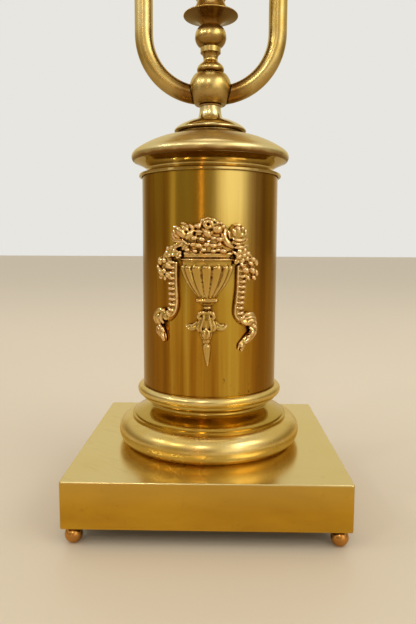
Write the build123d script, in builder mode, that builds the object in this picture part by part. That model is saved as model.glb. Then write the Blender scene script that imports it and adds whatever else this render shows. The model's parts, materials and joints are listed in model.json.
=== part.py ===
"""Two-light brass bouillotte lamp: a square plinth on ball feet, a drum column with a cast urn and
garland, a U of bent tube with two candle lights, and a round painted-metal shade on a centre rod.

Origin: on the table, under the middle of the plinth. +Z up, front ornament towards -Y, arms along X.
"""

import os
from math import cos, radians, sin, sqrt

from build123d import *

os.makedirs("parts", exist_ok=True)

# ---- fits ----------------------------------------------------------------------------------------
turn_fit = 0.05          # radial clearance of a pin, stud or rod that turns or slides in its hole
seat_fit = 0.10          # radial clearance of a spigot in the shell that drops over it
screw_gap = 0.30         # air at the tip of a screw or stud

# ---- plinth and feet -----------------------------------------------------------------------------
plinth_width = 178.0
plinth_height = 29.7
plinth_sheet = 1.5
plinth_corner_radius = 2.0
plinth_edge_radius = 0.8
foot_radius = 5.55
foot_flat = 0.15         # how much of the ball is worn flat where it stands
foot_neck_radius = 2.6
foot_neck_height = 0.5
foot_inset = 7.0         # foot centre from the plinth's two faces
foot_stud_radius = 1.5
foot_stud_length = 8.0
lug_width = 12.0
lug_height = 9.0
cover_thickness = 1.6
cover_gap = 0.2          # cover plate to plinth wall
ballast_radius = 60.0
ballast_thickness = 13.0
ballast_chamfer = 1.5

# ---- turned base of the column -------------------------------------------------------------------
torus_height = 18.8
torus_foot_radius = 60.5
torus_radius = 66.1
torus_top_radius = 58.0
torus_wall = 3.0
torus_bore_radius = 45.0
torus_belly_share = 0.46   # widest place, as a share of the height
scotia_height = 16.2
scotia_step_radius = 56.5
scotia_step_height = 1.3
scotia_edge_radius = 54.7
scotia_waist_radius = 42.8
scotia_fillet_radius = 49.0
scotia_fillet_height = 1.8
scotia_foot_band = 1.4      # upright band between the step and the hollow
scotia_top_band = 1.3       # slope between the hollow and the upper fillet
scotia_quirk = 0.3          # small slope from the step to the band
scotia_wall = 4.5
scotia_web = 4.0
bead_height = 7.0
bead_foot_radius = 50.4
bead_radius = 52.4
bead_top_radius = 49.3
spigot_height = 4.0
spigot_wall = 3.0

# ---- column and its cap --------------------------------------------------------------------------
column_radius = 48.2
column_wall = 1.2
column_length = 148.9
lip_radius = 50.4
lip_drop = 2.9           # how far the cap's lip hangs over the column
lip_gap = 0.5
lip_edge = 0.4           # bevel on the lip's corners
collar_height = 7.1
collar_step_radius = 49.5
collar_step_height = 1.4
collar_waist_radius = 45.8
collar_soffit_radius = 50.2
cap_height = 23.3
cap_radius = 55.65
cap_foot_radius = 52.2
cap_shoulder_radius = 48.1
cap_shoulder_height = 14.9
cap_crown_radius = 20.9
cap_wall = 3.0
cap_inner_slope = 1.0    # extra thickness of the crown's edge inside

# ---- centre pipe and stem ------------------------------------------------------------------------
pipe_radius = 5.0
pipe_bore_radius = 3.3
pipe_tail = 1.0          # pipe below its lower nut
pipe_headroom = 1.5      # pipe ends this far below the arms' lead
nut_height = 4.0
nut_radius = 8.2
washer_radius = 12.0
washer_thickness = 1.2
flange_height = 19.0
flange_radius = 24.8
flange_seat_radius = 20.4
edge_round = 0.6         # how far a rounded rim falls back at its corners
flange_seat_height = 0.6
flange_edge_height = 1.9
flange_neck_radius = 7.4
flange_collar_radius = 8.2
flange_collar_height = 1.6
hub_radius = 14.95
hub_drop = 10.5          # hub centre above the hub's lower face
hub_rise = 9.7           # hub's upper face above its centre
lower_knop_height = 11.5
lower_knop_radius = 9.5
lower_knop_neck_radius = 5.1
knop_gap = 1.3           # dark gap between the hub and the lower knop's lip
stem_rod_radius = 3.0
baluster_height = 21.5
baluster_band_radius = 7.1
upper_knop_radius = 10.7
baluster_top_radius = 6.5
disc_height = 16.0
disc_radius = 19.0
disc_edge_height = 1.1
disc_top_radius = 9.55
vase_height = 32.0
vase_radius = 12.0
vase_neck_radius = 6.6
rod_radius = 4.0
rod_seat_depth = 18.0
rod_length = 330.0
rod_tap_radius = 2.5
rod_tap_depth = 14.0

# ---- arms ----------------------------------------------------------------------------------------
arm_spread = 46.6        # leg axis from the lamp's axis
arm_tube_radius = 6.35
arm_tube_wall = 1.3
arm_bend_radius = 41.6
arm_drop = 3.9           # tube axis below the hub's centre
arm_leg_length = 63.0
arm_end_gap = 7.0        # cut end of each tube from the lamp's axis

# ---- candle lights -------------------------------------------------------------------------------
ferrule_height = 9.0
ferrule_radius = 9.4
ferrule_wall = 1.2
pan_radius = 33.0
pan_depth = 4.6
pan_sheet = 1.2
pan_seat_radius = 10.5
pan_roll_radius = 1.4
cup_height = 27.0
cup_foot_radius = 9.6
cup_foot_height = 1.4
cup_waist_radius = 7.6
cup_waist_height = 5.0
cup_belly_radius = 14.6
cup_floor = 11.0
cup_wall = 1.6
cup_rim_radius = 16.4
sleeve_radius = 12.0
sleeve_wall = 1.4
sleeve_length = 95.0
nipple_length = 88.0
nipple_engagement = 11.0 # nipple inside the arm's end
nipple_bore_radius = 3.4
nipple_stop = 1.0        # nipple ends this far below the lamp holder's bore
socket_radius = 10.2
socket_height = 33.0
socket_floor = 9.0
socket_bore_radius = 7.9
shell_wall = 0.5
shell_lift = 3.2
shell_tab_width = 4.0
shell_tab_height = 6.0
shell_drop = 2.0         # screw shell ends this far below the lamp holder's mouth
contact_radius = 4.0

# ---- bulbs ---------------------------------------------------------------------------------------
bulb_cap_radius = 5.95
bulb_cap_length = 19.0
bulb_tip_radius = 2.2
bulb_tip_length = 1.4
bulb_radius = 15.9
bulb_length = 68.0
bulb_neck_radius = 6.4
bulb_glass_wall = 0.8
bulb_stem_radius = 2.4
bulb_stem_height = 26.0

# ---- shade ---------------------------------------------------------------------------------------
shade_height = 150.0
shade_bottom_radius = 165.0
shade_top_radius = 114.0
shade_sheet = 0.8
shade_roll_radius = 2.0
shade_rest_height = 470.0     # lower rim above the table, with the collar at mid travel
spider_drop = 7.0        # top face of the spider below the shade's upper edge
spider_thickness = 2.0
spider_width = 7.0
spider_hub_radius = 12.0
spider_arms = 3
spider_tab_height = 11.0
rivet_radius = 1.4
rivet_head_radius = 2.8
rivet_head_height = 1.0
collar_radius = 9.0
collar_length = 22.0
collar_nose_radius = 7.5
collar_nose_height = 1.8
collar_flange_radius = 13.0
collar_flange_height = 2.4
collar_spigot_radius = 6.0
collar_spigot_height = 5.0
clamp_radius = 2.0
clamp_head_radius = 6.5
clamp_head_thickness = 5.0
clamp_reach = 8.0        # clear of the collar before the head
clamp_neck_radius = 3.2
clamp_neck_length = 4.0
finial_radius = 9.0
finial_height = 30.0
finial_foot_radius = 5.5
finial_neck_radius = 2.6
finial_stud_length = 10.0

# ---- switch and cord inlet -----------------------------------------------------------------------
switch_offset = 45.0     # switch axis to the right of the lamp's centre line, at the back
switch_width = 22.0
switch_depth = 15.0
switch_height = 18.0
switch_lift = 2.0        # switch body above the cover plate
switch_bush_radius = 4.5
switch_corner = 1.5
switch_bush_length = 6.5
switch_shaft_radius = 2.6
switch_nut_radius = 7.2
switch_nut_height = 2.2
knob_radius = 7.5
knob_length = 11.0
knob_gap = 0.8
knob_flutes = 16
knob_flute_radius = 0.9
knob_flute_out = 0.3     # flute centres outside the knob's edge
knob_bore_share = 0.7    # how far into the knob the shaft goes
knob_face_rim = 1.2
knob_face_height = 0.8
inlet_hole_radius = 5.6
inlet_bore_radius = 3.6
inlet_flange_radius = 8.0
inlet_flange_thickness = 2.0
inlet_nut_radius = 8.4
inlet_nut_height = 4.0
inlet_length = 9.5
lead_radius = 1.4
lead_lift = 0.02         # lead above the cover plate
lead_exit = 16.0         # straight run out of the switch
lead_descent = 14.0      # run from there down to the cover plate
lead_turn = 9.0          # sideways on the same run
lead_corner = (14.0, 16.0)   # last corner before the pipe
lead_exit_bend = 7.0
lead_floor_bend = 9.0

# ---- ornament on the column's front --------------------------------------------------------------
ornament_plate = 1.6     # thickness of the casting's ground
ornament_relief = 5.0    # how far its boldest parts stand off the column
bouquet_top = 159.0      # heights from here on are above the plinth's top
bouquet_foot = 131.0
bouquet_half_width = 25.0
urn_rim_height = 133.8
urn_rim_half_width = 18.3
urn_foot_height = 108.2
urn_foot_half_width = 6.8
urn_sink = 2.0           # how deep the middle of the urn's oval plan lies in the column
urn_bulge = 0.26         # how far the urn stands out, as a share of its half width
drop_tip_height = 62.7
drop_ring_height = 79.0
drop_ring_half_width = 3.0
drop_cup_height = 87.0
drop_cup_half_width = 5.0
drop_leaf_height = 90.5
drop_leaf_reach = 12.5
drop_scroll_height = 96.0
drop_scroll_half_width = 5.5
drop_neck_height = 102.0
drop_neck_half_width = 4.5
drop_top_height = 107.0
blossom_rows = ((137.5, 6, 17.5, 3.6), (145.0, 5, 15.0, 4.4), (152.5, 4, 10.5, 4.4))
large_blossoms = ((-20.0, 149.0, 7.2), (20.0, 148.5, 7.4), (24.5, 135.5, 6.0), (-26.5, 137.0, 5.6),
                  (0.0, 155.0, 4.2))
garland_buds = ((29.5, 131.0), (25.0, 126.5), (31.0, 124.5))
bud_radius = 3.4
bud_sink = 1.4           # how much lower the garland's buds stand than the bouquet
garland_half_width = 2.9
garland_offset = 24.0    # middle of each garland from the centre line, along the column's skin
garland_bottom = 98.0
knot_height = 94.5
knot_offset = 32.0
tail_height = 79.0
knot_radius = 5.0
tail_radius = 3.2
tail_width = 3.0
foot_bar_height = 3.4
foot_bar_lip = 0.4
rivet_heights = (145.0, 118.0, 84.0)
ornament_rivet_radius = 1.0
ornament_rivet_head = 2.2
ornament_rivet_thickness = 1.0
ornament_rivet_sink = 0.1    # seat filed flat into the column's curved inside

# ---- heights worked out from the sizes above -----------------------------------------------------
z_plinth = 2 * foot_radius - foot_flat + foot_neck_height
z_top = z_plinth + plinth_height
z_torus = z_top + torus_height
z_scotia = z_torus + scotia_height
z_column = z_scotia + bead_height
z_collar = z_column + column_length
z_cap = z_collar + collar_height
z_flange = z_cap + cap_height
z_hub_low = z_flange + flange_height
z_hub = z_hub_low + hub_drop
z_hub_high = z_hub + hub_rise
z_baluster = z_hub_high + lower_knop_height
z_disc = z_baluster + baluster_height
z_vase = z_disc + disc_height
z_rod = z_vase + vase_height - rod_seat_depth
z_rod_top = z_rod + rod_length
z_arm = z_hub - arm_drop
z_bend = z_arm + arm_bend_radius
z_leg_top = z_bend + arm_leg_length
z_ferrule = z_leg_top - ferrule_height
z_cup = z_leg_top + pan_sheet
z_nipple = z_leg_top - nipple_engagement
z_nipple_top = z_nipple + nipple_length
z_sleeve = z_cup + cup_floor
z_socket = z_nipple_top - socket_floor + nipple_stop
z_socket_top = z_socket + socket_height
z_shell = z_socket + socket_floor + shell_lift
z_bulb_cap = z_socket_top - bulb_cap_length
z_bulb_glass = z_socket_top
z_shade = shade_rest_height
z_shade_top = z_shade + shade_height
z_spider = z_shade_top - spider_drop - spider_thickness
z_shade_collar = z_spider - collar_length
z_clamp = z_shade_collar + collar_length / 2 - collar_flange_height / 2
pipe_hole_radius = pipe_radius + turn_fit
column_bore_radius = column_radius - column_wall
arm_bore_radius = arm_tube_radius - arm_tube_wall
z_ballast = z_top - plinth_sheet - ballast_thickness
z_pipe = z_ballast - washer_thickness - nut_height - pipe_tail
z_pipe_top = z_arm - lead_radius - pipe_headroom
z_cover_top = z_plinth + cover_thickness
z_switch = z_cover_top + switch_height / 2 + switch_lift
plinth_wall_inside = plinth_width / 2 - plinth_sheet


def turning_plane(x=0.0, z=0.0):
    """Plane of a turned piece's outline: local X is the radius, local Y the height above z."""
    return Plane(origin=(x, 0, z), x_dir=(1, 0, 0), z_dir=(0, -1, 0))


def turning_axis(x=0.0):
    """Upright axis that a turned piece is turned about."""
    return Axis((x, 0, 0), (0, 0, 1))


def back_plane(x, z, y):
    """Plane on the plinth's back: local Z points out of the back, towards +Y."""
    return Plane(origin=(x, y, z), x_dir=(-1, 0, 0), z_dir=(0, 1, 0))


def finish(piece, name):
    """Labels a finished piece and writes it."""
    piece.part.label = name
    export_step(piece.part, f"parts/{name}.step")


# ==== plinth ======================================================================================
with BuildPart() as plinth_box:
    with BuildSketch(Plane.XY.offset(z_plinth)):
        RectangleRounded(plinth_width, plinth_width, plinth_corner_radius)
    extrude(amount=plinth_height)
    fillet(plinth_box.edges().group_by(Axis.Z)[-1], plinth_edge_radius)
    with BuildSketch(Plane.XY.offset(z_plinth)):
        inner_width = plinth_width - 2 * plinth_sheet
        RectangleRounded(inner_width, inner_width, plinth_corner_radius - plinth_sheet / 2)
    extrude(amount=plinth_height - plinth_sheet, mode=Mode.SUBTRACT)
    with BuildSketch(Plane.XY.offset(z_top - plinth_sheet)):
        Circle(pipe_hole_radius)
    extrude(amount=plinth_sheet, mode=Mode.SUBTRACT)
    with BuildSketch(back_plane(switch_offset, z_switch, plinth_wall_inside)):
        Circle(switch_bush_radius + turn_fit)
    extrude(amount=plinth_sheet, mode=Mode.SUBTRACT)
    with BuildSketch(back_plane(0, z_switch, plinth_wall_inside)):
        Circle(inlet_hole_radius + turn_fit)
    extrude(amount=plinth_sheet, mode=Mode.SUBTRACT)
finish(plinth_box, "plinth_box")

lug_pitch = plinth_width - 2 * plinth_sheet - lug_width
foot_pitch = plinth_width - 2 * foot_inset

with BuildPart() as corner_lugs:
    with BuildSketch(Plane.XY.offset(z_cover_top)):
        with GridLocations(lug_pitch, lug_pitch, 2, 2):
            RectangleRounded(lug_width, lug_width, plinth_corner_radius)
        with GridLocations(foot_pitch, foot_pitch, 2, 2):
            Circle(foot_stud_radius + turn_fit, mode=Mode.SUBTRACT)
    extrude(amount=lug_height)
finish(corner_lugs, "corner_lugs")

with BuildPart() as cover_plate:
    with BuildSketch(Plane.XY.offset(z_plinth)):
        cover_width = plinth_width - 2 * plinth_sheet - 2 * cover_gap
        RectangleRounded(cover_width, cover_width, plinth_corner_radius)
        with GridLocations(foot_pitch, foot_pitch, 2, 2):
            Circle(foot_stud_radius + turn_fit, mode=Mode.SUBTRACT)
    extrude(amount=cover_thickness)
finish(cover_plate, "cover_plate")

foot_shoulder_height = sqrt(foot_radius**2 - foot_neck_radius**2) + foot_radius - foot_flat

with BuildPart() as ball_feet:
    with GridLocations(foot_pitch, foot_pitch, 2, 2):
        with Locations((0, 0, foot_radius - foot_flat)):
            Sphere(foot_radius)
        with Locations((0, 0, foot_shoulder_height)):
            Cylinder(foot_neck_radius, z_plinth - foot_shoulder_height,
                     align=(Align.CENTER, Align.CENTER, Align.MIN))
        with Locations((0, 0, z_plinth)):
            Cylinder(foot_stud_radius, foot_stud_length,
                     align=(Align.CENTER, Align.CENTER, Align.MIN))
    with BuildSketch():
        Rectangle(plinth_width, plinth_width)
    extrude(amount=-foot_radius, mode=Mode.SUBTRACT)
finish(ball_feet, "ball_feet")

with BuildPart() as ballast_weight:
    with BuildSketch(Plane.XY.offset(z_ballast)):
        Circle(ballast_radius)
        Circle(pipe_hole_radius, mode=Mode.SUBTRACT)
    extrude(amount=ballast_thickness)
    chamfer(ballast_weight.edges().group_by(Axis.Z)[0].sort_by(SortBy.RADIUS)[-1], ballast_chamfer)
finish(ballast_weight, "ballast_weight")

# ==== turned base =================================================================================
with BuildPart() as base_torus:
    with BuildSketch(turning_plane(z=z_top)):
        belly_height = torus_belly_share * torus_height
        with BuildLine():
            outside = ThreePointArc((torus_foot_radius, 0), (torus_radius, belly_height),
                                    (torus_top_radius, torus_height))
            over = Line(outside @ 1, (torus_bore_radius, torus_height))
            down = Line(over @ 1, (torus_bore_radius, torus_height - torus_wall))
            under = Line(down @ 1, (torus_top_radius - torus_wall, torus_height - torus_wall))
            inside = ThreePointArc(under @ 1, (torus_radius - torus_wall, belly_height),
                                   (torus_foot_radius - torus_wall, 0))
            Line(inside @ 1, outside @ 0)
        make_face()
    revolve(axis=Axis.Z)
finish(base_torus, "base_torus")

with BuildPart() as base_scotia:
    with BuildSketch(turning_plane(z=z_torus)):
        hollow_foot = scotia_step_height + scotia_foot_band
        hollow_top = scotia_height - scotia_fillet_height - scotia_top_band
        fillet_reach = scotia_fillet_radius - scotia_waist_radius
        hollow_height = hollow_top - hollow_foot
        with BuildLine():
            step = Polyline((scotia_step_radius, 0), (scotia_step_radius, scotia_step_height),
                            (scotia_edge_radius, scotia_step_height + scotia_quirk),
                            (scotia_edge_radius, hollow_foot))
            flare_reach = scotia_edge_radius - scotia_waist_radius
            hollow = Spline(step @ 1,
                            (scotia_waist_radius + 0.43 * flare_reach, hollow_foot + 0.33 * hollow_height),
                            (scotia_waist_radius, hollow_foot + 0.70 * hollow_height),
                            (scotia_waist_radius + 0.71 * fillet_reach, hollow_top))
            rim = Polyline(hollow @ 1, (scotia_fillet_radius, hollow_top + scotia_top_band),
                           (scotia_fillet_radius, scotia_height), (pipe_hole_radius, scotia_height),
                           (pipe_hole_radius, scotia_height - scotia_web),
                           (scotia_waist_radius - scotia_wall, scotia_height - scotia_web),
                           (scotia_waist_radius - scotia_wall, -torus_wall),
                           (torus_bore_radius - seat_fit, -torus_wall),
                           (torus_bore_radius - seat_fit, 0))
            Line(rim @ 1, step @ 0)
        make_face()
    revolve(axis=Axis.Z)
finish(base_scotia, "base_scotia")

with BuildPart() as base_bead:
    with BuildSketch(turning_plane(z=z_scotia)):
        with BuildLine():
            round_edge = ThreePointArc((bead_foot_radius, 0), (bead_radius, 0.45 * bead_height),
                                       (bead_top_radius, bead_height))
            spigot_radius = column_bore_radius - seat_fit
            seat = Polyline(round_edge @ 1, (spigot_radius, bead_height),
                            (spigot_radius, bead_height + spigot_height),
                            (spigot_radius - spigot_wall, bead_height + spigot_height),
                            (spigot_radius - spigot_wall, 0))
            Line(seat @ 1, round_edge @ 0)
        make_face()
    revolve(axis=Axis.Z)
finish(base_bead, "base_bead")

# ==== column ======================================================================================
ornament_rivet_hole = ornament_rivet_radius + turn_fit

with BuildPart() as column_tube:
    with BuildSketch(Plane.XY.offset(z_column)):
        Circle(column_radius)
        Circle(column_bore_radius, mode=Mode.SUBTRACT)
    extrude(amount=column_length)
    with BuildSketch(Plane.XZ):
        with Locations(*[(0, z_top + height) for height in rivet_heights]):
            Circle(ornament_rivet_hole)
    extrude(amount=2 * column_radius, mode=Mode.SUBTRACT)
finish(column_tube, "column_tube")

with BuildPart() as cap_collar:
    with BuildSketch(turning_plane(z=z_collar)):
        with BuildLine():
            lip = Polyline((column_radius + lip_gap, 0), (column_radius + lip_gap, -lip_drop),
                           (lip_radius - lip_edge, -lip_drop), (lip_radius, lip_edge - lip_drop),
                           (lip_radius, -lip_edge), (lip_radius - lip_edge, 0.0),
                           (collar_step_radius, lip_edge), (collar_step_radius, collar_step_height))
            hollow_height = collar_height - collar_step_height
            hollow_depth = collar_step_radius - collar_waist_radius
            waist, foot_height = collar_waist_radius, collar_step_height
            hollow = Spline(lip @ 1, (waist + 0.22 * hollow_depth, foot_height + 0.18 * hollow_height),
                            (waist, foot_height + 0.48 * hollow_height),
                            (waist + 0.35 * hollow_depth, foot_height + 0.84 * hollow_height),
                            (collar_soffit_radius, collar_height), tangents=[(-1, 0.3), (1, 0.3)])
            plug_radius = column_bore_radius - seat_fit
            plug = Polyline(hollow @ 1, (plug_radius - spigot_wall, collar_height),
                            (plug_radius - spigot_wall, -spigot_height), (plug_radius, -spigot_height),
                            (plug_radius, 0))
            Line(plug @ 1, lip @ 0)
        make_face()
    revolve(axis=Axis.Z)
finish(cap_collar, "cap_collar")

with BuildPart() as cap_dome:
    with BuildSketch(turning_plane(z=z_cap)):
        crown_rise = cap_height - cap_shoulder_height
        roll_reach = cap_radius - cap_shoulder_radius
        inner_foot = column_bore_radius - 2 * spigot_wall
        with BuildLine():
            roll = Spline((cap_foot_radius, 0), (cap_radius - 0.12 * roll_reach, 0.16 * cap_shoulder_height),
                          (cap_radius, 0.36 * cap_shoulder_height),
                          (cap_radius - 0.17 * roll_reach, 0.62 * cap_shoulder_height),
                          (cap_radius - 0.58 * roll_reach, 0.88 * cap_shoulder_height),
                          (cap_shoulder_radius, cap_shoulder_height))
            crown = Spline(roll @ 1, (0.5 * (cap_shoulder_radius + cap_crown_radius),
                                      cap_shoulder_height + 0.66 * crown_rise),
                           (cap_crown_radius, cap_height))
            shell = Polyline(crown @ 1, (pipe_hole_radius, cap_height),
                             (pipe_hole_radius, cap_height - cap_wall),
                             (cap_crown_radius, cap_height - cap_wall - cap_inner_slope),
                             (inner_foot, cap_shoulder_height - cap_wall), (inner_foot, 0))
            Line(shell @ 1, roll @ 0)
        make_face()
    revolve(axis=Axis.Z)
finish(cap_dome, "cap_dome")

# ==== ornament ====================================================================================
skin = column_radius + turn_fit


def on_column(along, height, depth=0.0):
    """Point on the column's skin: along it sideways, above the plinth's top, and depth outside it."""
    angle = along / column_radius
    reach = column_radius + depth
    return (reach * sin(angle), -reach * cos(angle), z_top + height)


def sideways(along):
    """Straight sideways distance of a place that far along the column's skin."""
    return column_radius * sin(along / column_radius)


garland_x = sideways(garland_offset)
knot_x = sideways(knot_offset)
bouquet_x = sideways(bouquet_half_width)

inwards = (0, 0, 90)     # turns a sphere's seam into the column, where it is cut away

with BuildPart() as column_ornament:
    with BuildSketch(Plane.XZ):
        with BuildLine():
            dome = ThreePointArc((-bouquet_x, z_top + bouquet_foot), (0, z_top + bouquet_top - bud_radius),
                                 (bouquet_x, z_top + bouquet_foot))
            Line(dome @ 1, dome @ 0)
        make_face()
        for side in (-1, 1):
            with BuildLine():
                outer_x = side * (garland_x + garland_half_width)
                inner_x = side * (garland_x - garland_half_width)
                tail_outer_x = side * (knot_x - 1)
                tail_inner_x = tail_outer_x - side * tail_width
                garland_top = z_top + bouquet_foot + garland_half_width
                edge = Polyline((inner_x, garland_top), (inner_x, z_top + garland_bottom),
                                (tail_inner_x, z_top + knot_height - tail_width - 1),
                                (tail_inner_x, z_top + tail_height), (tail_outer_x, z_top + tail_height),
                                (tail_outer_x, z_top + knot_height),
                                (outer_x, z_top + garland_bottom + 2 * garland_half_width),
                                (outer_x, garland_top))
                Line(edge @ 1, edge @ 0)
            make_face()
        with BuildLine():
            drop_half = Polyline((0, z_top + drop_tip_height),
                                 (drop_ring_half_width, z_top + drop_ring_height),
                                 (drop_cup_half_width, z_top + drop_cup_height),
                                 (drop_leaf_reach, z_top + drop_leaf_height),
                                 (drop_scroll_half_width, z_top + drop_scroll_height),
                                 (drop_neck_half_width, z_top + drop_neck_height),
                                 (0, z_top + drop_top_height))
            mirror(drop_half, Plane.YZ)
        make_face()
    extrude(amount=2 * column_radius)
    with BuildSketch(Plane.XY):
        Circle(column_radius + ornament_plate)
    extrude(amount=z_column + column_length, mode=Mode.INTERSECT)
    # urn: a half cup with an oval plan, flattened against the column
    urn_height = urn_rim_height - urn_foot_height
    for share, width_share in ((0.0, 0.0), (0.35, 0.62), (0.75, 0.93), (1.0, 1.0)):
        urn_half_width = urn_foot_half_width + width_share * (urn_rim_half_width - urn_foot_half_width)
        with BuildSketch(Plane.XY.offset(z_top + urn_foot_height + share * urn_height)):
            with Locations((0, -column_radius + urn_sink)):
                Ellipse(urn_half_width, urn_sink + urn_bulge * urn_half_width)
    loft()
    with Locations((0, -column_radius, z_top + urn_foot_height - foot_bar_height / 2)):
        Cylinder(urn_foot_half_width + foot_bar_lip, foot_bar_height)
    with Locations((0, -column_radius, z_top + urn_foot_height - foot_bar_height - 0.6 * bud_radius)):
        Sphere(bud_radius, rotation=inwards)
    # bouquet: rows of blossoms, larger towards the ends
    for height, count, reach, blossom in blossom_rows:
        for k in range(count):
            along = reach * (2 * k / (count - 1) - 1)
            with Locations(on_column(along, height, ornament_relief - blossom)):
                Sphere(blossom, rotation=inwards)
    for along, height, blossom in large_blossoms:
        with Locations(on_column(along, height, ornament_relief - blossom)):
            Sphere(blossom, rotation=inwards)
    # garlands: clusters of buds, then ribbed folds down to the knot and its tails
    rib_radius = garland_half_width + 0.45
    rib_pitch = 1.15 * rib_radius
    for side in (-1, 1):
        for along, height in garland_buds:
            with Locations(on_column(side * along, height, ornament_relief - bud_sink - bud_radius)):
                Sphere(bud_radius, rotation=inwards)
        lowest_bud = garland_buds[-1][1] - bud_radius
        for k in range(int((lowest_bud - garland_bottom) / rib_pitch) + 1):
            with Locations(on_column(side * garland_offset, garland_bottom + k * rib_pitch, 0)):
                Sphere(rib_radius, rotation=inwards)
        with Locations(on_column(side * (knot_offset - 0.3 * knot_radius), knot_height, 0)):
            Sphere(knot_radius, rotation=inwards)
        with Locations(on_column(side * (knot_offset - 0.5 * knot_radius), tail_height + knot_radius, 0)):
            Sphere(tail_radius, rotation=inwards)
    with BuildSketch(Plane.XY):
        Circle(skin)
    extrude(amount=z_column + column_length, mode=Mode.SUBTRACT)
    with BuildSketch(Plane.XZ):
        with Locations(*[(0, z_top + height) for height in rivet_heights]):
            Circle(ornament_rivet_hole)
    extrude(amount=skin + ornament_plate - screw_gap, mode=Mode.SUBTRACT)
finish(column_ornament, "column_ornament")

with BuildPart() as ornament_rivets:
    rivet_seat = column_bore_radius - ornament_rivet_sink
    inner_skin = Plane(origin=(0, -rivet_seat, 0), x_dir=(1, 0, 0), z_dir=(0, -1, 0))
    with BuildSketch(inner_skin):
        with Locations(*[(0, z_top + height) for height in rivet_heights]):
            Circle(ornament_rivet_radius)
    extrude(amount=column_radius + ornament_plate - 2 * screw_gap - rivet_seat)
    with BuildSketch(inner_skin):
        with Locations(*[(0, z_top + height) for height in rivet_heights]):
            Circle(ornament_rivet_head)
    extrude(amount=-ornament_rivet_thickness)
finish(ornament_rivets, "ornament_rivets")

# ==== centre pipe and its fixings =================================================================
with BuildPart() as centre_pipe:
    with BuildSketch(Plane.XY.offset(z_pipe)):
        Circle(pipe_radius)
        Circle(pipe_bore_radius, mode=Mode.SUBTRACT)
    extrude(amount=z_pipe_top - z_pipe)
finish(centre_pipe, "centre_pipe")

with BuildPart() as pipe_washer:
    with BuildSketch(Plane.XY.offset(z_ballast - washer_thickness)):
        Circle(washer_radius)
        Circle(pipe_hole_radius, mode=Mode.SUBTRACT)
    extrude(amount=washer_thickness)
finish(pipe_washer, "pipe_washer")

with BuildPart() as pipe_nut:
    with BuildSketch(Plane.XY.offset(z_ballast - washer_thickness - nut_height)):
        RegularPolygon(nut_radius, 6)
        Circle(pipe_hole_radius, mode=Mode.SUBTRACT)
    extrude(amount=nut_height)
finish(pipe_nut, "pipe_nut")

# ==== stem ========================================================================================
with BuildPart() as stem_flange:
    with BuildSketch(turning_plane(z=z_flange)):
        edge_top = flange_seat_height + flange_edge_height
        ogee_height = flange_height - edge_top - flange_collar_height
        ogee_reach = flange_radius - flange_neck_radius
        with BuildLine():
            edge_radius = flange_radius - edge_round
            seat = Polyline((pipe_hole_radius, 0), (flange_seat_radius, 0),
                            (flange_seat_radius, flange_seat_height), (edge_radius, flange_seat_height))
            edge = ThreePointArc(seat @ 1, (flange_radius, flange_seat_height + 0.5 * flange_edge_height),
                                 (edge_radius, edge_top))
            ogee = Spline(edge @ 1, (flange_neck_radius + 0.84 * ogee_reach, edge_top + 0.15 * ogee_height),
                          (flange_neck_radius + 0.56 * ogee_reach, edge_top + 0.31 * ogee_height),
                          (flange_neck_radius + 0.22 * ogee_reach, edge_top + 0.49 * ogee_height),
                          (flange_neck_radius + 0.05 * ogee_reach, edge_top + 0.70 * ogee_height),
                          (flange_neck_radius, edge_top + ogee_height))
            collar_mid = flange_height - 0.5 * flange_collar_height
            ring = ThreePointArc(ogee @ 1, (flange_collar_radius, collar_mid),
                                 (flange_neck_radius, flange_height))
            top = Line(ring @ 1, (pipe_hole_radius, flange_height))
            Line(top @ 1, seat @ 0)
        make_face()
    revolve(axis=Axis.Z)
finish(stem_flange, "stem_flange")


def arm_route(side):
    """Centre line of one arm: out from the hub, round the bend and up the leg."""
    return FilletPolyline((0, 0, z_arm), (side * arm_spread, 0, z_arm),
                          (side * arm_spread, 0, z_leg_top), radius=arm_bend_radius)


stem_rod_hole = stem_rod_radius + turn_fit

with BuildPart() as arm_hub:
    with Locations((0, 0, z_hub)):
        Sphere(hub_radius)
    with BuildSketch(Plane.XY.offset(z_hub_low)):
        Circle(hub_radius)
    extrude(amount=z_hub_high - z_hub_low, mode=Mode.INTERSECT)
    for side in (-1, 1):
        with BuildLine():
            arm_route(side)
        with BuildSketch(Plane(origin=(0, 0, z_arm), x_dir=(0, 1, 0), z_dir=(side, 0, 0))):
            Circle(arm_tube_radius + turn_fit)
        sweep(mode=Mode.SUBTRACT)
    with BuildSketch(Plane.XY.offset(z_hub_low)):
        Circle(pipe_hole_radius)
    extrude(amount=z_hub - z_hub_low, mode=Mode.SUBTRACT)
    with BuildSketch(Plane.XY.offset(z_hub)):
        Circle(stem_rod_hole)
    extrude(amount=hub_rise, mode=Mode.SUBTRACT)
finish(arm_hub, "arm_hub")

with BuildPart() as lower_knop:
    with BuildSketch(turning_plane(z=z_hub_high)):
        with BuildLine():
            swell = lower_knop_radius - lower_knop_neck_radius
            foot = Polyline((stem_rod_hole, 0), (lower_knop_neck_radius, 0),
                            (lower_knop_neck_radius, knop_gap),
                            (lower_knop_radius - 0.27 * swell, knop_gap + 0.1))
            knop = Spline(foot @ 1, (lower_knop_radius, 0.32 * lower_knop_height),
                          (lower_knop_radius - 0.34 * swell, 0.58 * lower_knop_height),
                          (lower_knop_neck_radius + 0.09 * swell, 0.77 * lower_knop_height),
                          (lower_knop_neck_radius, lower_knop_height))
            top = Line(knop @ 1, (stem_rod_hole, lower_knop_height))
            Line(top @ 1, foot @ 0)
        make_face()
    revolve(axis=Axis.Z)
finish(lower_knop, "lower_knop")

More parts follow.
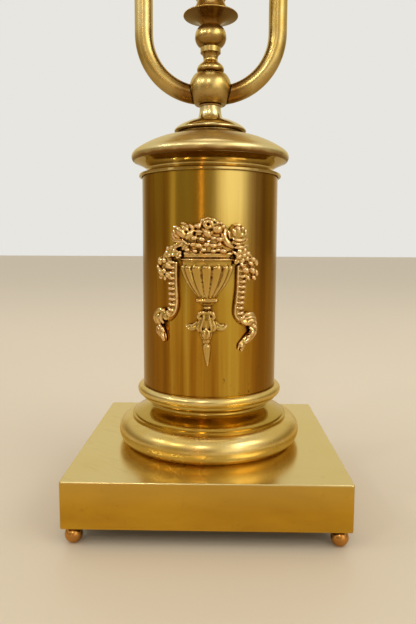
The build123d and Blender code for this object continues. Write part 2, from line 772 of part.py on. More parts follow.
with BuildPart() as baluster:
    with BuildSketch(turning_plane(z=z_baluster)):
        band_foot = 0.15 * baluster_height
        band_top = 0.34 * baluster_height
        knop_mid = 0.62 * baluster_height
        with BuildLine():
            foot = Line((stem_rod_hole, 0), (lower_knop_neck_radius, 0))
            swell = upper_knop_radius - baluster_top_radius
            quirk = 0.5 * edge_round
            cove = Spline(foot @ 1, (lower_knop_neck_radius + edge_round, 0.6 * band_foot),
                          (baluster_band_radius, band_foot))
            band = Polyline(cove @ 1, (baluster_band_radius, band_top),
                            (baluster_band_radius - 3 * quirk, band_top + quirk))
            knop = Spline(band @ 1, (upper_knop_radius - 0.31 * swell, 0.5 * (band_top + knop_mid)),
                          (upper_knop_radius, knop_mid),
                          (upper_knop_radius - 0.45 * swell, 0.8 * baluster_height),
                          (baluster_top_radius + 0.07 * swell, 0.9 * baluster_height),
                          (baluster_top_radius, baluster_height))
            top = Line(knop @ 1, (stem_rod_hole, baluster_height))
            Line(top @ 1, foot @ 0)
        make_face()
    revolve(axis=Axis.Z)
finish(baluster, "baluster")

with BuildPart() as stem_disc:
    with BuildSketch(turning_plane(z=z_disc)):
        rim_foot = 0.37 * disc_height
        rim_top = rim_foot + disc_edge_height
        with BuildLine():
            foot = Line((stem_rod_hole, 0), (baluster_top_radius, 0))
            under_reach = disc_radius - baluster_top_radius
            under = Spline(foot @ 1, (baluster_top_radius + 0.18 * under_reach, 0.45 * rim_foot),
                           (disc_radius - 0.4 * under_reach, 0.82 * rim_foot),
                           (disc_radius - 0.5 * edge_round, rim_foot))
            rim = ThreePointArc(under @ 1, (disc_radius, 0.5 * (rim_foot + rim_top)),
                                (disc_radius - 0.7 * edge_round, rim_top))
            flare = Spline(rim @ 1, (disc_top_radius + 0.42 * (disc_radius - disc_top_radius),
                                     rim_top + 0.25 * (disc_height - rim_top)),
                           (disc_top_radius + 0.09 * (disc_radius - disc_top_radius),
                            rim_top + 0.68 * (disc_height - rim_top)),
                           (disc_top_radius, disc_height))
            top = Line(flare @ 1, (stem_rod_hole, disc_height))
            Line(top @ 1, foot @ 0)
        make_face()
    revolve(axis=Axis.Z)
finish(stem_disc, "stem_disc")

with BuildPart() as stem_rod:
    stem_rod_foot = z_hub + 1.0
    with BuildSketch(Plane.XY.offset(stem_rod_foot)):
        Circle(stem_rod_radius)
    extrude(amount=z_rod - screw_gap - stem_rod_foot)
finish(stem_rod, "stem_rod")

with BuildPart() as rod_vase:
    with BuildSketch(turning_plane(z=z_vase)):
        seat_height = vase_height - rod_seat_depth
        with BuildLine():
            foot = Line((stem_rod_hole, 0), (disc_top_radius, 0))
            swell = vase_radius - vase_neck_radius
            ring_radius = vase_neck_radius + 2 * edge_round
            belly = Spline(foot @ 1, (vase_radius - 0.11 * swell, 0.14 * vase_height),
                           (vase_radius, 0.25 * vase_height), (vase_radius - 0.3 * swell, 0.42 * vase_height),
                           (vase_neck_radius + 0.1 * swell, 0.66 * vase_height),
                           (vase_neck_radius, 0.80 * vase_height))
            collar = Polyline(belly @ 1, (ring_radius, 0.82 * vase_height), (ring_radius, 0.93 * vase_height),
                              (vase_neck_radius, 0.95 * vase_height), (vase_neck_radius, vase_height),
                              (rod_radius + turn_fit, vase_height),
                              (rod_radius + turn_fit, seat_height), (stem_rod_hole, seat_height))
            Line(collar @ 1, foot @ 0)
        make_face()
    revolve(axis=Axis.Z)
finish(rod_vase, "rod_vase")

with BuildPart() as shade_rod:
    with BuildSketch(Plane.XY.offset(z_rod)):
        Circle(rod_radius)
    extrude(amount=rod_length)
    with BuildSketch(Plane.XY.offset(z_rod_top)):
        Circle(rod_tap_radius + turn_fit)
    extrude(amount=-rod_tap_depth, mode=Mode.SUBTRACT)
finish(shade_rod, "shade_rod")

# ==== arms and candle lights ======================================================================
for side, hand in ((-1, "left"), (1, "right")):
    leg_x = side * arm_spread

    with BuildPart() as arm_tube:
        with BuildLine():
            arm_route(side)
        with BuildSketch(Plane(origin=(0, 0, z_arm), x_dir=(0, 1, 0), z_dir=(side, 0, 0))):
            Circle(arm_tube_radius)
            Circle(arm_bore_radius, mode=Mode.SUBTRACT)
        sweep()
        with Locations((0, 0, z_arm)):
            Box(2 * arm_end_gap, 4 * arm_tube_radius, 4 * arm_tube_radius, mode=Mode.SUBTRACT)
    finish(arm_tube, f"arm_tube_{hand}")

    with BuildPart() as drip_pan:
        with BuildSketch(turning_plane(leg_x, z_leg_top)):
            with BuildLine():
                under = Line((pipe_hole_radius, 0), (pan_seat_radius, 0))
                bowl_middle = 0.55 * (pan_seat_radius + pan_radius)
                bowl = ThreePointArc(under @ 1, (bowl_middle, 0.30 * pan_depth),
                                     (pan_radius - pan_roll_radius, pan_depth))
                rim = Line(bowl @ 1, bowl @ 1 + Vector(-0.25 * pan_sheet, pan_sheet))
                inside = ThreePointArc(rim @ 1, (bowl_middle, 0.30 * pan_depth + pan_sheet),
                                       (pan_seat_radius, pan_sheet))
                seat = Line(inside @ 1, (pipe_hole_radius, pan_sheet))
                Line(seat @ 1, under @ 0)
            make_face()
            with Locations((pan_radius - pan_roll_radius, pan_depth + 0.5 * pan_sheet)):
                Circle(pan_roll_radius)
        revolve(axis=turning_axis(leg_x))
    finish(drip_pan, f"drip_pan_{hand}")

    with BuildPart() as candle_cup:
        with BuildSketch(turning_plane(leg_x, z_cup)):
            cup_bore = sleeve_radius + seat_fit
            with BuildLine():
                foot = Polyline((pipe_hole_radius, 0), (cup_foot_radius, 0),
                                (cup_foot_radius, cup_foot_height))
                body = Spline(foot @ 1, (cup_waist_radius + 0.7 * edge_round, 0.6 * cup_waist_height),
                              (cup_waist_radius, cup_waist_height),
                              (cup_belly_radius - cup_wall, 0.34 * cup_height),
                              (cup_belly_radius, 0.52 * cup_height), (cup_bore + cup_wall, 0.82 * cup_height),
                              (cup_rim_radius - edge_round, cup_height - 2 * edge_round))
                lip = ThreePointArc(body @ 1, (cup_rim_radius, cup_height - edge_round),
                                    (cup_rim_radius - edge_round, cup_height))
                inside = Polyline(lip @ 1, (cup_bore, cup_height), (cup_bore, cup_floor),
                                  (pipe_hole_radius, cup_floor))
                Line(inside @ 1, foot @ 0)
            make_face()
        revolve(axis=turning_axis(leg_x))
    finish(candle_cup, f"candle_cup_{hand}")

    with BuildPart() as candle_sleeve:
        with BuildSketch(Plane(origin=(leg_x, 0, z_sleeve))):
            Circle(sleeve_radius)
            Circle(sleeve_radius - sleeve_wall, mode=Mode.SUBTRACT)
        extrude(amount=sleeve_length)
    finish(candle_sleeve, f"candle_sleeve_{hand}")

    with BuildPart() as bulb_glass:
        with BuildSketch(turning_plane(leg_x, z_bulb_glass)):
            with BuildLine():
                outer = Spline((bulb_neck_radius, 0), (bulb_radius * 0.72, 0.14 * bulb_length),
                               (bulb_radius, 0.33 * bulb_length), (bulb_radius * 0.80, 0.58 * bulb_length),
                               (bulb_radius * 0.34, 0.86 * bulb_length), (0, bulb_length),
                               tangents=[(0.4, 1), (-1, 0.5)])
                wall = bulb_glass_wall
                tip = Line(outer @ 1, (0, bulb_length - 2 * wall))
                inner = Spline(tip @ 1, (bulb_radius * 0.34 - wall, 0.85 * bulb_length),
                               (bulb_radius * 0.80 - wall, 0.57 * bulb_length),
                               (bulb_radius - wall, 0.33 * bulb_length),
                               (bulb_radius * 0.72 - wall, 0.15 * bulb_length), (bulb_neck_radius - wall, 0),
                               tangents=[(1, -0.5), (-0.4, -1)])
                Line(inner @ 1, outer @ 0)
            make_face()
        revolve(axis=turning_axis(leg_x))
    finish(bulb_glass, f"bulb_glass_{hand}")

    with BuildPart() as bulb_cap:
        with BuildSketch(Plane(origin=(leg_x, 0, z_bulb_cap))):
            Circle(bulb_cap_radius)
        extrude(amount=bulb_cap_length)
        with BuildSketch(Plane(origin=(leg_x, 0, z_bulb_cap))):
            Circle(bulb_tip_radius)
        extrude(amount=-bulb_tip_length)
    finish(bulb_cap, f"bulb_cap_{hand}")

    with BuildPart() as bulb_stem:
        with BuildSketch(Plane(origin=(leg_x, 0, z_bulb_glass))):
            Circle(bulb_stem_radius)
        extrude(amount=bulb_stem_height, taper=2)
    finish(bulb_stem, f"bulb_stem_{hand}")

with BuildPart() as arm_ferrules:
    for leg_x in (-arm_spread, arm_spread):
        with BuildSketch(turning_plane(leg_x, z_ferrule)):
            hole = arm_tube_radius + turn_fit
            with BuildLine():
                foot = Line((hole, 0), (hole + ferrule_wall, 0))
                swell = Spline(foot @ 1, (hole + 1.7 * ferrule_wall, 0.25 * ferrule_height),
                               (hole + 0.8 * ferrule_wall, 0.5 * ferrule_height),
                               (ferrule_radius - 0.5 * ferrule_wall, 0.8 * ferrule_height),
                               (ferrule_radius, ferrule_height))
                top = Line(swell @ 1, (hole, ferrule_height))
                Line(top @ 1, foot @ 0)
            make_face()
        revolve(axis=turning_axis(leg_x))
finish(arm_ferrules, "arm_ferrules")

with BuildPart() as socket_bodies:
    for leg_x in (-arm_spread, arm_spread):
        with BuildSketch(Plane(origin=(leg_x, 0, z_socket))):
            Circle(socket_radius)
        extrude(amount=socket_height)
        with BuildSketch(Plane(origin=(leg_x, 0, z_socket))):
            Circle(pipe_hole_radius)
        extrude(amount=socket_floor, mode=Mode.SUBTRACT)
        with BuildSketch(Plane(origin=(leg_x, 0, z_socket + socket_floor))):
            Circle(socket_bore_radius)
        extrude(amount=socket_height - socket_floor, mode=Mode.SUBTRACT)
finish(socket_bodies, "socket_bodies")

with BuildPart() as socket_nipples:
    for side in (-1, 1):
        with BuildSketch(Plane(origin=(side * arm_spread, 0, z_nipple))):
            Circle(arm_bore_radius - turn_fit)
            Circle(nipple_bore_radius, mode=Mode.SUBTRACT)
        extrude(amount=nipple_length)
finish(socket_nipples, "socket_nipples")

with BuildPart() as nipple_nuts:
    for side in (-1, 1):
        with BuildSketch(Plane(origin=(side * arm_spread, 0, z_sleeve))):
            RegularPolygon(nut_radius, 6)
            Circle(pipe_hole_radius, mode=Mode.SUBTRACT)
        extrude(amount=nut_height)
finish(nipple_nuts, "nipple_nuts")

with BuildPart() as socket_shells:
    shell_radius = bulb_cap_radius + turn_fit + shell_wall
    for side in (-1, 1):
        with BuildSketch(Plane(origin=(side * arm_spread, 0, z_shell))):
            Circle(shell_radius)
            Circle(shell_radius - shell_wall, mode=Mode.SUBTRACT)
        extrude(amount=z_socket_top - shell_drop - z_shell)
        with BuildSketch(Plane(origin=(side * arm_spread, 0, z_socket + socket_floor))):
            Rectangle(2 * socket_radius, shell_tab_width)
            Circle(socket_bore_radius, mode=Mode.INTERSECT)
            Circle(shell_radius - shell_wall, mode=Mode.SUBTRACT)
        extrude(amount=shell_lift + shell_tab_height)
finish(socket_shells, "socket_shells")

with BuildPart() as socket_contacts:
    for side in (-1, 1):
        with BuildSketch(Plane(origin=(side * arm_spread, 0, z_socket + socket_floor))):
            Circle(contact_radius)
        extrude(amount=z_bulb_cap - bulb_tip_length - screw_gap - z_socket - socket_floor)
finish(socket_contacts, "socket_contacts")

with BuildPart() as arm_lead:
    lead_top = z_socket + socket_floor
    with BuildLine():
        FilletPolyline((-arm_spread, 0, lead_top), (-arm_spread, 0, z_arm), (arm_spread, 0, z_arm),
                       (arm_spread, 0, lead_top), radius=arm_bend_radius)
    with BuildSketch(Plane(origin=(-arm_spread, 0, lead_top), x_dir=(1, 0, 0), z_dir=(0, 0, -1))):
        Circle(lead_radius)
    sweep()
finish(arm_lead, "arm_lead")

# ==== shade =======================================================================================
shade_slope = (shade_bottom_radius - shade_top_radius) / shade_height


def shade_radius_at(z):
    """Outside radius of the shade's skin at a height above the table."""
    return shade_top_radius + shade_slope * (z_shade_top - z)


spider_angles = [90 + 360 / spider_arms * k for k in range(spider_arms)]
z_rivet = z_spider + spider_thickness - spider_tab_height / 2


def rivet_plane(angle):
    """Plane across the shade's skin at a spider arm: its local Z points outwards."""
    reach = shade_radius_at(z_rivet)
    outwards = Vector(cos(radians(angle)), sin(radians(angle)), shade_slope).normalized()
    place = (reach * cos(radians(angle)), reach * sin(radians(angle)), z_rivet)
    return Plane(origin=place, x_dir=(-sin(radians(angle)), cos(radians(angle)), 0), z_dir=outwards)


with BuildSketch() as skin_outline:
    Polygon((shade_bottom_radius, 0), (shade_top_radius, shade_height),
            (shade_top_radius - shade_sheet, shade_height), (shade_bottom_radius - shade_sheet, 0),
            align=None)

with BuildPart() as shade_shell:
    with BuildSketch(turning_plane(z=z_shade)):
        add(skin_outline.sketch)
    revolve(axis=Axis.Z)
    for angle in spider_angles:
        with BuildSketch(rivet_plane(angle)):
            Circle(rivet_radius)
        extrude(amount=2 * shade_sheet, both=True, mode=Mode.SUBTRACT)
finish(shade_shell, "shade_shell")

for name, radius, height in (("shade_rim_low", shade_bottom_radius, z_shade),
                             ("shade_rim_high", shade_top_radius, z_shade_top)):
    with BuildPart() as shade_rim:
        with BuildSketch(turning_plane(z=height)):
            with Locations((radius - shade_sheet / 2, 0)):
                Circle(shade_roll_radius)
            with Locations((0, z_shade - height)):
                add(skin_outline.sketch, mode=Mode.SUBTRACT)
        revolve(axis=Axis.Z)
    finish(shade_rim, name)

with BuildPart() as shade_spider:
    with BuildSketch(Plane.XY.offset(z_spider)):
        for angle in spider_angles:
            with Locations(Location((0, 0, 0), (0, 0, angle))):
                Rectangle(2 * shade_top_radius, spider_width, align=(Align.MIN, Align.CENTER))
    extrude(amount=spider_thickness)
    with BuildSketch(Plane.XY.offset(z_spider + spider_thickness - spider_tab_height)):
        for angle in spider_angles:
            with Locations(Location((0, 0, 0), (0, 0, angle))):
                Rectangle(2 * shade_top_radius, spider_width, align=(Align.MIN, Align.CENTER))
        Circle(shade_top_radius - 2.5 * spider_thickness, mode=Mode.SUBTRACT)
    extrude(amount=spider_tab_height)
    with BuildSketch(turning_plane(z=z_shade)):
        Polygon((0, 0), (shade_bottom_radius - shade_sheet, 0),
                (shade_top_radius - shade_sheet, shade_height), (0, shade_height), align=None)
    revolve(axis=Axis.Z, mode=Mode.INTERSECT)
    with BuildSketch(turning_plane(z=z_shade)):
        tab_inset = shade_sheet + spider_thickness
        Polygon((0, 0), (shade_bottom_radius - tab_inset, 0),
                (shade_bottom_radius - tab_inset - shade_slope * (z_spider - z_shade), z_spider - z_shade),
                (0, z_spider - z_shade), align=None)
    revolve(axis=Axis.Z, mode=Mode.SUBTRACT)
    with BuildSketch(Plane.XY.offset(z_spider)):
        Circle(spider_hub_radius)
    extrude(amount=spider_thickness)
    with BuildSketch(Plane.XY.offset(z_spider)):
        Circle(collar_spigot_radius + turn_fit)
    extrude(amount=spider_thickness, mode=Mode.SUBTRACT)
    for angle in spider_angles:
        with BuildSketch(rivet_plane(angle)):
            Circle(rivet_radius)
        extrude(amount=3 * spider_thickness, both=True, mode=Mode.SUBTRACT)
finish(shade_spider, "shade_spider")

with BuildPart() as spider_rivets:
    for angle in spider_angles:
        with BuildSketch(rivet_plane(angle)):
            Circle(rivet_head_radius)
        extrude(amount=rivet_head_height, taper=25)
        with BuildSketch(rivet_plane(angle)):
            Circle(rivet_radius)
        extrude(amount=-(shade_sheet + 0.8 * spider_thickness))
    add(shade_shell.part, mode=Mode.SUBTRACT)
finish(spider_rivets, "spider_rivets")

with BuildPart() as shade_collar:
    with BuildSketch(turning_plane(z=z_shade_collar)):
        rod_hole = rod_radius + turn_fit
        flange_foot = collar_length - collar_flange_height
        with BuildLine():
            outline = Polyline((rod_hole, 0), (collar_nose_radius, 0),
                               (collar_nose_radius, collar_nose_height),
                               (collar_radius, collar_nose_height + 2 * edge_round),
                               (collar_radius, flange_foot - 5 * edge_round),
                               (collar_radius + 1.5 * edge_round, flange_foot - edge_round),
                               (collar_flange_radius, flange_foot), (collar_flange_radius, collar_length),
                               (collar_spigot_radius, collar_length),
                               (collar_spigot_radius, collar_length + collar_spigot_height),
                               (rod_hole, collar_length + collar_spigot_height))
            Line(outline @ 1, outline @ 0)
        make_face()
    revolve(axis=Axis.Z)
    with BuildSketch(Plane(origin=(0, 0, z_clamp), x_dir=(1, 0, 0), z_dir=(0, -1, 0))):
        Circle(clamp_radius + turn_fit)
    extrude(amount=collar_radius, mode=Mode.SUBTRACT)
finish(shade_collar, "shade_collar")

with BuildPart() as clamp_screw:
    clamp_start = Plane(origin=(0, -rod_radius - screw_gap, z_clamp), x_dir=(1, 0, 0), z_dir=(0, -1, 0))
    clamp_shank = collar_radius + clamp_reach - rod_radius - screw_gap
    with BuildSketch(clamp_start):
        Circle(clamp_radius)
    extrude(amount=clamp_shank)
    with BuildSketch(clamp_start.offset(clamp_shank - clamp_neck_length)):
        Circle(clamp_neck_radius)
    extrude(amount=clamp_neck_length)
    with BuildSketch(clamp_start.offset(clamp_shank)):
        Ellipse(clamp_head_thickness / 2, clamp_head_radius)
        with Locations((0, clamp_head_radius * 0.75), (0, -clamp_head_radius * 0.75)):
            Circle(clamp_head_thickness * 0.62)
    extrude(amount=2 * clamp_radius)
finish(clamp_screw, "clamp_screw")

with BuildPart() as finial:
    with BuildSketch(turning_plane(z=z_rod_top)):
        finial_neck_swell = finial_radius - finial_neck_radius
        with BuildLine():
            foot = Polyline((0, 0), (finial_foot_radius, 0), (finial_foot_radius, 0.06 * finial_height))
            body = Spline(foot @ 1, (finial_foot_radius - 0.35 * finial_neck_swell, 0.17 * finial_height),
                          (finial_radius - 0.26 * finial_neck_swell, 0.34 * finial_height),
                          (finial_radius, 0.48 * finial_height),
                          (finial_radius - 0.48 * finial_neck_swell, 0.66 * finial_height),
                          (finial_neck_radius, 0.80 * finial_height))
            knob = Spline(body @ 1, (finial_neck_radius + edge_round, 0.88 * finial_height),
                          (0, finial_height), tangents=[(0.2, 1), (-1, 0)])
            Line(knob @ 1, foot @ 0)
        make_face()
    revolve(axis=Axis.Z)
    with BuildSketch(Plane.XY.offset(z_rod_top)):
        Circle(rod_tap_radius)
    extrude(amount=-finial_stud_length)
finish(finial, "finial")

# ==== switch and cord inlet =======================================================================
switch_plane = back_plane(switch_offset, z_switch, plinth_wall_inside)

with BuildPart() as switch_body:
    with BuildSketch(switch_plane):
        RectangleRounded(switch_width, switch_height, switch_corner)
    extrude(amount=-switch_depth)
    with BuildSketch(switch_plane):
        Circle(switch_bush_radius)
    extrude(amount=switch_bush_length)
    with BuildSketch(switch_plane.offset(switch_bush_length)):
        Circle(switch_shaft_radius + turn_fit)
    extrude(amount=-switch_bush_length - 0.5 * switch_depth, mode=Mode.SUBTRACT)
finish(switch_body, "switch_body")

with BuildPart() as switch_nut:
    with BuildSketch(switch_plane.offset(plinth_sheet)):
        RegularPolygon(switch_nut_radius, 6)
        Circle(switch_bush_radius + turn_fit, mode=Mode.SUBTRACT)
    extrude(amount=switch_nut_height)
finish(switch_nut, "switch_nut")

knob_start = switch_bush_length + knob_gap

with BuildPart() as switch_shaft:
    with BuildSketch(switch_plane.offset(screw_gap - 0.5 * switch_depth)):
        Circle(switch_shaft_radius)
    extrude(amount=0.5 * switch_depth - screw_gap + knob_start + knob_bore_share * knob_length)
finish(switch_shaft, "switch_shaft")

with BuildPart() as switch_knob:
    with BuildSketch(switch_plane.offset(knob_start)):
        Circle(knob_radius)
        with PolarLocations(knob_radius + knob_flute_out, knob_flutes):
            Circle(knob_flute_radius, mode=Mode.SUBTRACT)
    extrude(amount=knob_length)
    with BuildSketch(switch_plane.offset(knob_start)):
        Circle(switch_shaft_radius)
    extrude(amount=knob_bore_share * knob_length, mode=Mode.SUBTRACT)
    with BuildSketch(switch_plane.offset(knob_start + knob_length)):
        Circle(knob_radius - knob_face_rim)
    extrude(amount=knob_face_height, taper=30)
finish(switch_knob, "switch_knob")

inlet_plane = back_plane(0, z_switch, plinth_wall_inside)

with BuildPart() as inlet_bush:
    with BuildSketch(inlet_plane.offset(plinth_sheet)):
        Circle(inlet_flange_radius)
    extrude(amount=inlet_flange_thickness, taper=8)
    with BuildSketch(inlet_plane.offset(plinth_sheet)):
        Circle(inlet_hole_radius)
    extrude(amount=-inlet_length)
    with BuildSketch(inlet_plane.offset(plinth_sheet + inlet_flange_thickness)):
        Circle(inlet_bore_radius)
    extrude(amount=-inlet_length - inlet_flange_thickness, mode=Mode.SUBTRACT)
finish(inlet_bush, "inlet_bush")

with BuildPart() as inlet_nut:
    with BuildSketch(inlet_plane):
        RegularPolygon(inlet_nut_radius, 6)
        Circle(inlet_hole_radius + turn_fit, mode=Mode.SUBTRACT)
    extrude(amount=-inlet_nut_height)
finish(inlet_nut, "inlet_nut")

with BuildPart() as supply_lead:
    lead_floor = z_cover_top + lead_radius + lead_lift
    switch_back = plinth_wall_inside - switch_depth
    exit_end = switch_back - lead_exit
    entry_bend = 0.9 * (z_pipe - lead_floor + 2 * lead_radius)
    with BuildLine():
        FilletPolyline((switch_offset, switch_back, z_switch), (switch_offset, exit_end, z_switch),
                       (switch_offset - lead_turn, exit_end - lead_descent, lead_floor),
                       (*lead_corner, lead_floor), (0, 0, lead_floor), (0, 0, z_arm - lead_radius),
                       radius=[lead_exit_bend, lead_floor_bend, lead_floor_bend, entry_bend])
    with BuildSketch(Plane(origin=(switch_offset, switch_back, z_switch), x_dir=(1, 0, 0), z_dir=(0, -1, 0))):
        Circle(lead_radius)
    sweep()
finish(supply_lead, "supply_lead")
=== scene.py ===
import json
from math import atan2, cos, hypot, pi, radians, sin

import bmesh
import bpy
from mathutils import Matrix, Vector


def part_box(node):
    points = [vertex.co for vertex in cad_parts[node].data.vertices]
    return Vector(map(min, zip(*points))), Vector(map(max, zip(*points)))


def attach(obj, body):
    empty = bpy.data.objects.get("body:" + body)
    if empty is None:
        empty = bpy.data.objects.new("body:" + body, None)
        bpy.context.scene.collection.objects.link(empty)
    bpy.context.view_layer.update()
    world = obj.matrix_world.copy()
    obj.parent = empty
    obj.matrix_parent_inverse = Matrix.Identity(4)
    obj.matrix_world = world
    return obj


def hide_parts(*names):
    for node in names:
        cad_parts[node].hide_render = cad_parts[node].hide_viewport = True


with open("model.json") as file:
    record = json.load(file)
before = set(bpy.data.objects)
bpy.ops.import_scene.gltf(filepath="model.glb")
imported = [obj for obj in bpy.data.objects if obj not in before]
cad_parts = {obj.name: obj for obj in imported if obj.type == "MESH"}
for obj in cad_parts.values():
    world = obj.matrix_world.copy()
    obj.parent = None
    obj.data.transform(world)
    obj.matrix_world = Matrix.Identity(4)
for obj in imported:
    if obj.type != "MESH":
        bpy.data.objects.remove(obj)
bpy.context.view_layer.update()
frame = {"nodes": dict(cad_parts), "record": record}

MM = 0.001


# ---------------------------------------------------------------- finishes

class Finish:
    """One procedural finish: a shader and the steps that lead to it."""

    def __init__(self, name, metallic=0.0, roughness=0.4):
        self.material = bpy.data.materials.new(name)
        self.material.use_nodes = True
        self.tree = self.material.node_tree
        self.shader = self.tree.nodes["Principled BSDF"]
        self.set("Metallic", metallic)
        self.set("Roughness", roughness)

    def set(self, socket, value):
        """A constant of the shader, or a link to it when the value is a step's output."""
        self.put(self.shader.inputs[socket], value)

    def put(self, socket, value):
        """Links a step's output to the socket, or sets a constant there."""
        if isinstance(value, bpy.types.NodeSocket):
            self.tree.links.new(value, socket)
        else:
            socket.default_value = value

    def step(self, kind, inputs=(), **settings):
        """A node of this kind, with its inputs and settings."""
        node = self.tree.nodes.new(kind)
        for name, value in settings.items():
            setattr(node, name, value)
        for name, value in dict(inputs).items():
            self.put(node.inputs[name], value)
        return node

    def math(self, operation, a, b=0.0, clamp=False):
        return self.step("ShaderNodeMath", {0: a, 1: b}, operation=operation, use_clamp=clamp).outputs[0]

    def product(self, value, *others):
        """All of them multiplied, for a mask that holds only where each of them does."""
        for other in others:
            value = self.math("MULTIPLY", value, other)
        return value

    def total(self, value, *others):
        """All of them added."""
        for other in others:
            value = self.math("ADD", value, other)
        return value

    def distance(self, *sides):
        """The length of the vector that has these sides."""
        squares = [self.product(side, side) for side in sides]
        return self.math("SQRT", self.total(*squares))

    def object_place(self):
        return self.step("ShaderNodeTexCoord").outputs["Object"]

    def split(self, vector):
        node = self.step("ShaderNodeSeparateXYZ", {0: vector})
        return node.outputs[0], node.outputs[1], node.outputs[2]

    def join(self, x, y, z):
        return self.step("ShaderNodeCombineXYZ", {0: x, 1: y, 2: z}).outputs[0]

    def stretch(self, vector, x, y, z):
        """The place scaled along each axis, so that a pattern on it is drawn out."""
        return self.step("ShaderNodeMapping", {"Vector": vector, "Scale": (x, y, z)}).outputs[0]

    def noise(self, vector, scale, detail=3.0, roughness=0.5, distortion=0.0):
        inputs = {
            "Vector": vector,
            "Scale": scale,
            "Detail": detail,
            "Roughness": roughness,
            "Distortion": distortion,
        }
        return self.step("ShaderNodeTexNoise", inputs).outputs[0]

    def span(self, value, low, high, to_low=0.0, to_high=1.0):
        """Goes from one number to another while the value goes from low to high, and no further."""
        inputs = {"Value": value, 1: low, 2: high, 3: to_low, 4: to_high}
        return self.step("ShaderNodeMapRange", inputs).outputs[0]

    def blend(self, share, first, second):
        """The first colour where the share is 0, the second where it is 1."""
        node = self.step("ShaderNodeMix", data_type="RGBA")
        self.put(node.inputs[0], share)
        self.put(node.inputs[6], first)
        self.put(node.inputs[7], second)
        return node.outputs[2]

    def recess(self, depth, own=True):
        """0 in open places, 1 deep in a groove of the piece itself, or beside another piece too."""
        node = self.step("ShaderNodeAmbientOcclusion", {"Distance": depth}, only_local=own, samples=8)
        return self.math("SUBTRACT", 1.0, node.outputs["AO"], clamp=True)

    def relief(self, height, strength, depth, under=None):
        """Fine relief, over another relief where one is given."""
        inputs = {"Strength": strength, "Distance": depth, "Height": height}
        if under is not None:
            inputs["Normal"] = under
        return self.step("ShaderNodeBump", inputs).outputs[0]


def paint(red, green, blue):
    """A colour written as on a colour card, 0 to 255."""
    shares = (red / 255, green / 255, blue / 255)
    linear = [((c + 0.055) / 1.055) ** 2.4 if c > 0.04045 else c / 12.92 for c in shares]
    return (*linear, 1.0)


brass_pale = paint(220, 196, 132)
brass_straw = paint(222, 202, 144)
brass_golden = paint(196, 164, 86)
brass_olive = paint(180, 146, 60)
brass_amber = paint(162, 114, 32)
brass_brown = paint(112, 68, 18)
brass_soot_and_shade = paint(44, 24, 8)
brass_edge = (1.0, 0.90, 0.64, 1.0)
brass_rose_highlight = paint(250, 216, 168)
brass_ochre = paint(208, 160, 92)
brass_russet = paint(120, 62, 22)
brass_copper = paint(184, 124, 54)
moulding_golden = paint(208, 172, 84)
column_olive = paint(194, 162, 62)
column_amber = paint(168, 116, 28)
plinth_amber = paint(206, 160, 50)
verdigris = paint(104, 132, 112)
enamel_black = paint(24, 26, 24)
enamel_worn = paint(34, 35, 31)
gold_pale = paint(236, 218, 168)
gold_deep = paint(222, 196, 134)
glass_clear = paint(250, 250, 247)
glass_smoke = paint(196, 176, 148)
ivory_pale = paint(238, 228, 200)
ivory_deep = paint(226, 210, 172)
ivory_brown = paint(176, 138, 88)
tungsten_grey = paint(120, 116, 110)
tungsten_dark = paint(84, 80, 76)
floor_sand = paint(212, 196, 170)

# the coats of turned brass: its own colour, where it is rubbed, and where it is tarnished, which is also the
# colour of the painted shade in its recesses
golden_coat = (brass_golden, brass_pale, brass_amber)
brown_coat = (brass_golden, brass_pale, brass_brown)
# painted highlight: a paler copy of the brass, for the dome and flange
highlight_coat = (brass_pale, brass_straw, brass_golden)
olive_coat = (brass_olive, brass_golden, brass_brown)
moulding_coat = (moulding_golden, brass_pale, brass_amber)
copper_coat = (brass_copper, brass_ochre, brass_russet)

plinth_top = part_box("plinth_box")[1].z
column_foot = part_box("base_bead")[1].z
column_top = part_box("column_tube")[1].z
column_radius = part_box("column_tube")[1].x
urn_top = plinth_top + 134 * MM
hub_low, hub_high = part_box("arm_hub")
hub_radius = hub_high.y
hub_middle = hub_low.z + 10.5 * MM
stain_top = hub_high.z + 2 * MM
green_height = hub_low.z + 9.4 * MM
knop_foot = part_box("lower_knop")[0].z
knop_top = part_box("lower_knop")[1].z
crown_drop = 3.0 * MM    # how much lower the turned crown meets the flange than the plain solids do
flange_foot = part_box("stem_flange")[0].z - crown_drop
sleeve_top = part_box("candle_sleeve_left")[1].z
smoke_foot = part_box("bulb_glass_left")[0].z
smoke_top = smoke_foot + 16 * MM
lathe_rings = 1800.0     # fine rings to the metre
scratch_turn = 0.7       # the plinth's scratches run askew by so much, in radians


def bare_brass(name):
    """Polished brass that has no colour yet, and the place on it."""
    finish = Finish(name, metallic=1.0)
    finish.set("Specular Tint", brass_edge)
    return finish, finish.object_place()


def aged_brass(name, coat, recess_depth, roughness):
    """Brass gone uneven with age: paler where it is worn, and brown tarnish with painted shade in its
    recesses.
    """
    main, worn, stain = coat
    finish, place = bare_brass(name)
    cloud = finish.noise(place, 22.0, detail=5.0, roughness=0.6, distortion=0.6)
    fleck = finish.noise(place, 240.0, detail=3.0, roughness=0.7)
    recess = finish.recess(recess_depth)
    colour = finish.blend(finish.span(cloud, 0.36, 0.68), main, worn)
    colour = finish.blend(finish.span(fleck, 0.55, 0.80, 0.0, 0.16), colour, stain)
    # painted shade: the tarnish colour in recesses, and soot dark where they are deepest
    colour = finish.blend(finish.span(recess, 0.35, 0.9, 0.0, 0.8), colour, stain)
    colour = finish.blend(finish.span(recess, 0.78, 1.0), colour, brass_soot_and_shade)
    rough = finish.span(cloud, 0.3, 0.7, roughness + 0.05, roughness - 0.04)
    finish.set("Roughness", finish.total(rough, finish.span(recess, 0.4, 1.0, 0.0, 0.25)))
    return finish, place, colour, fleck


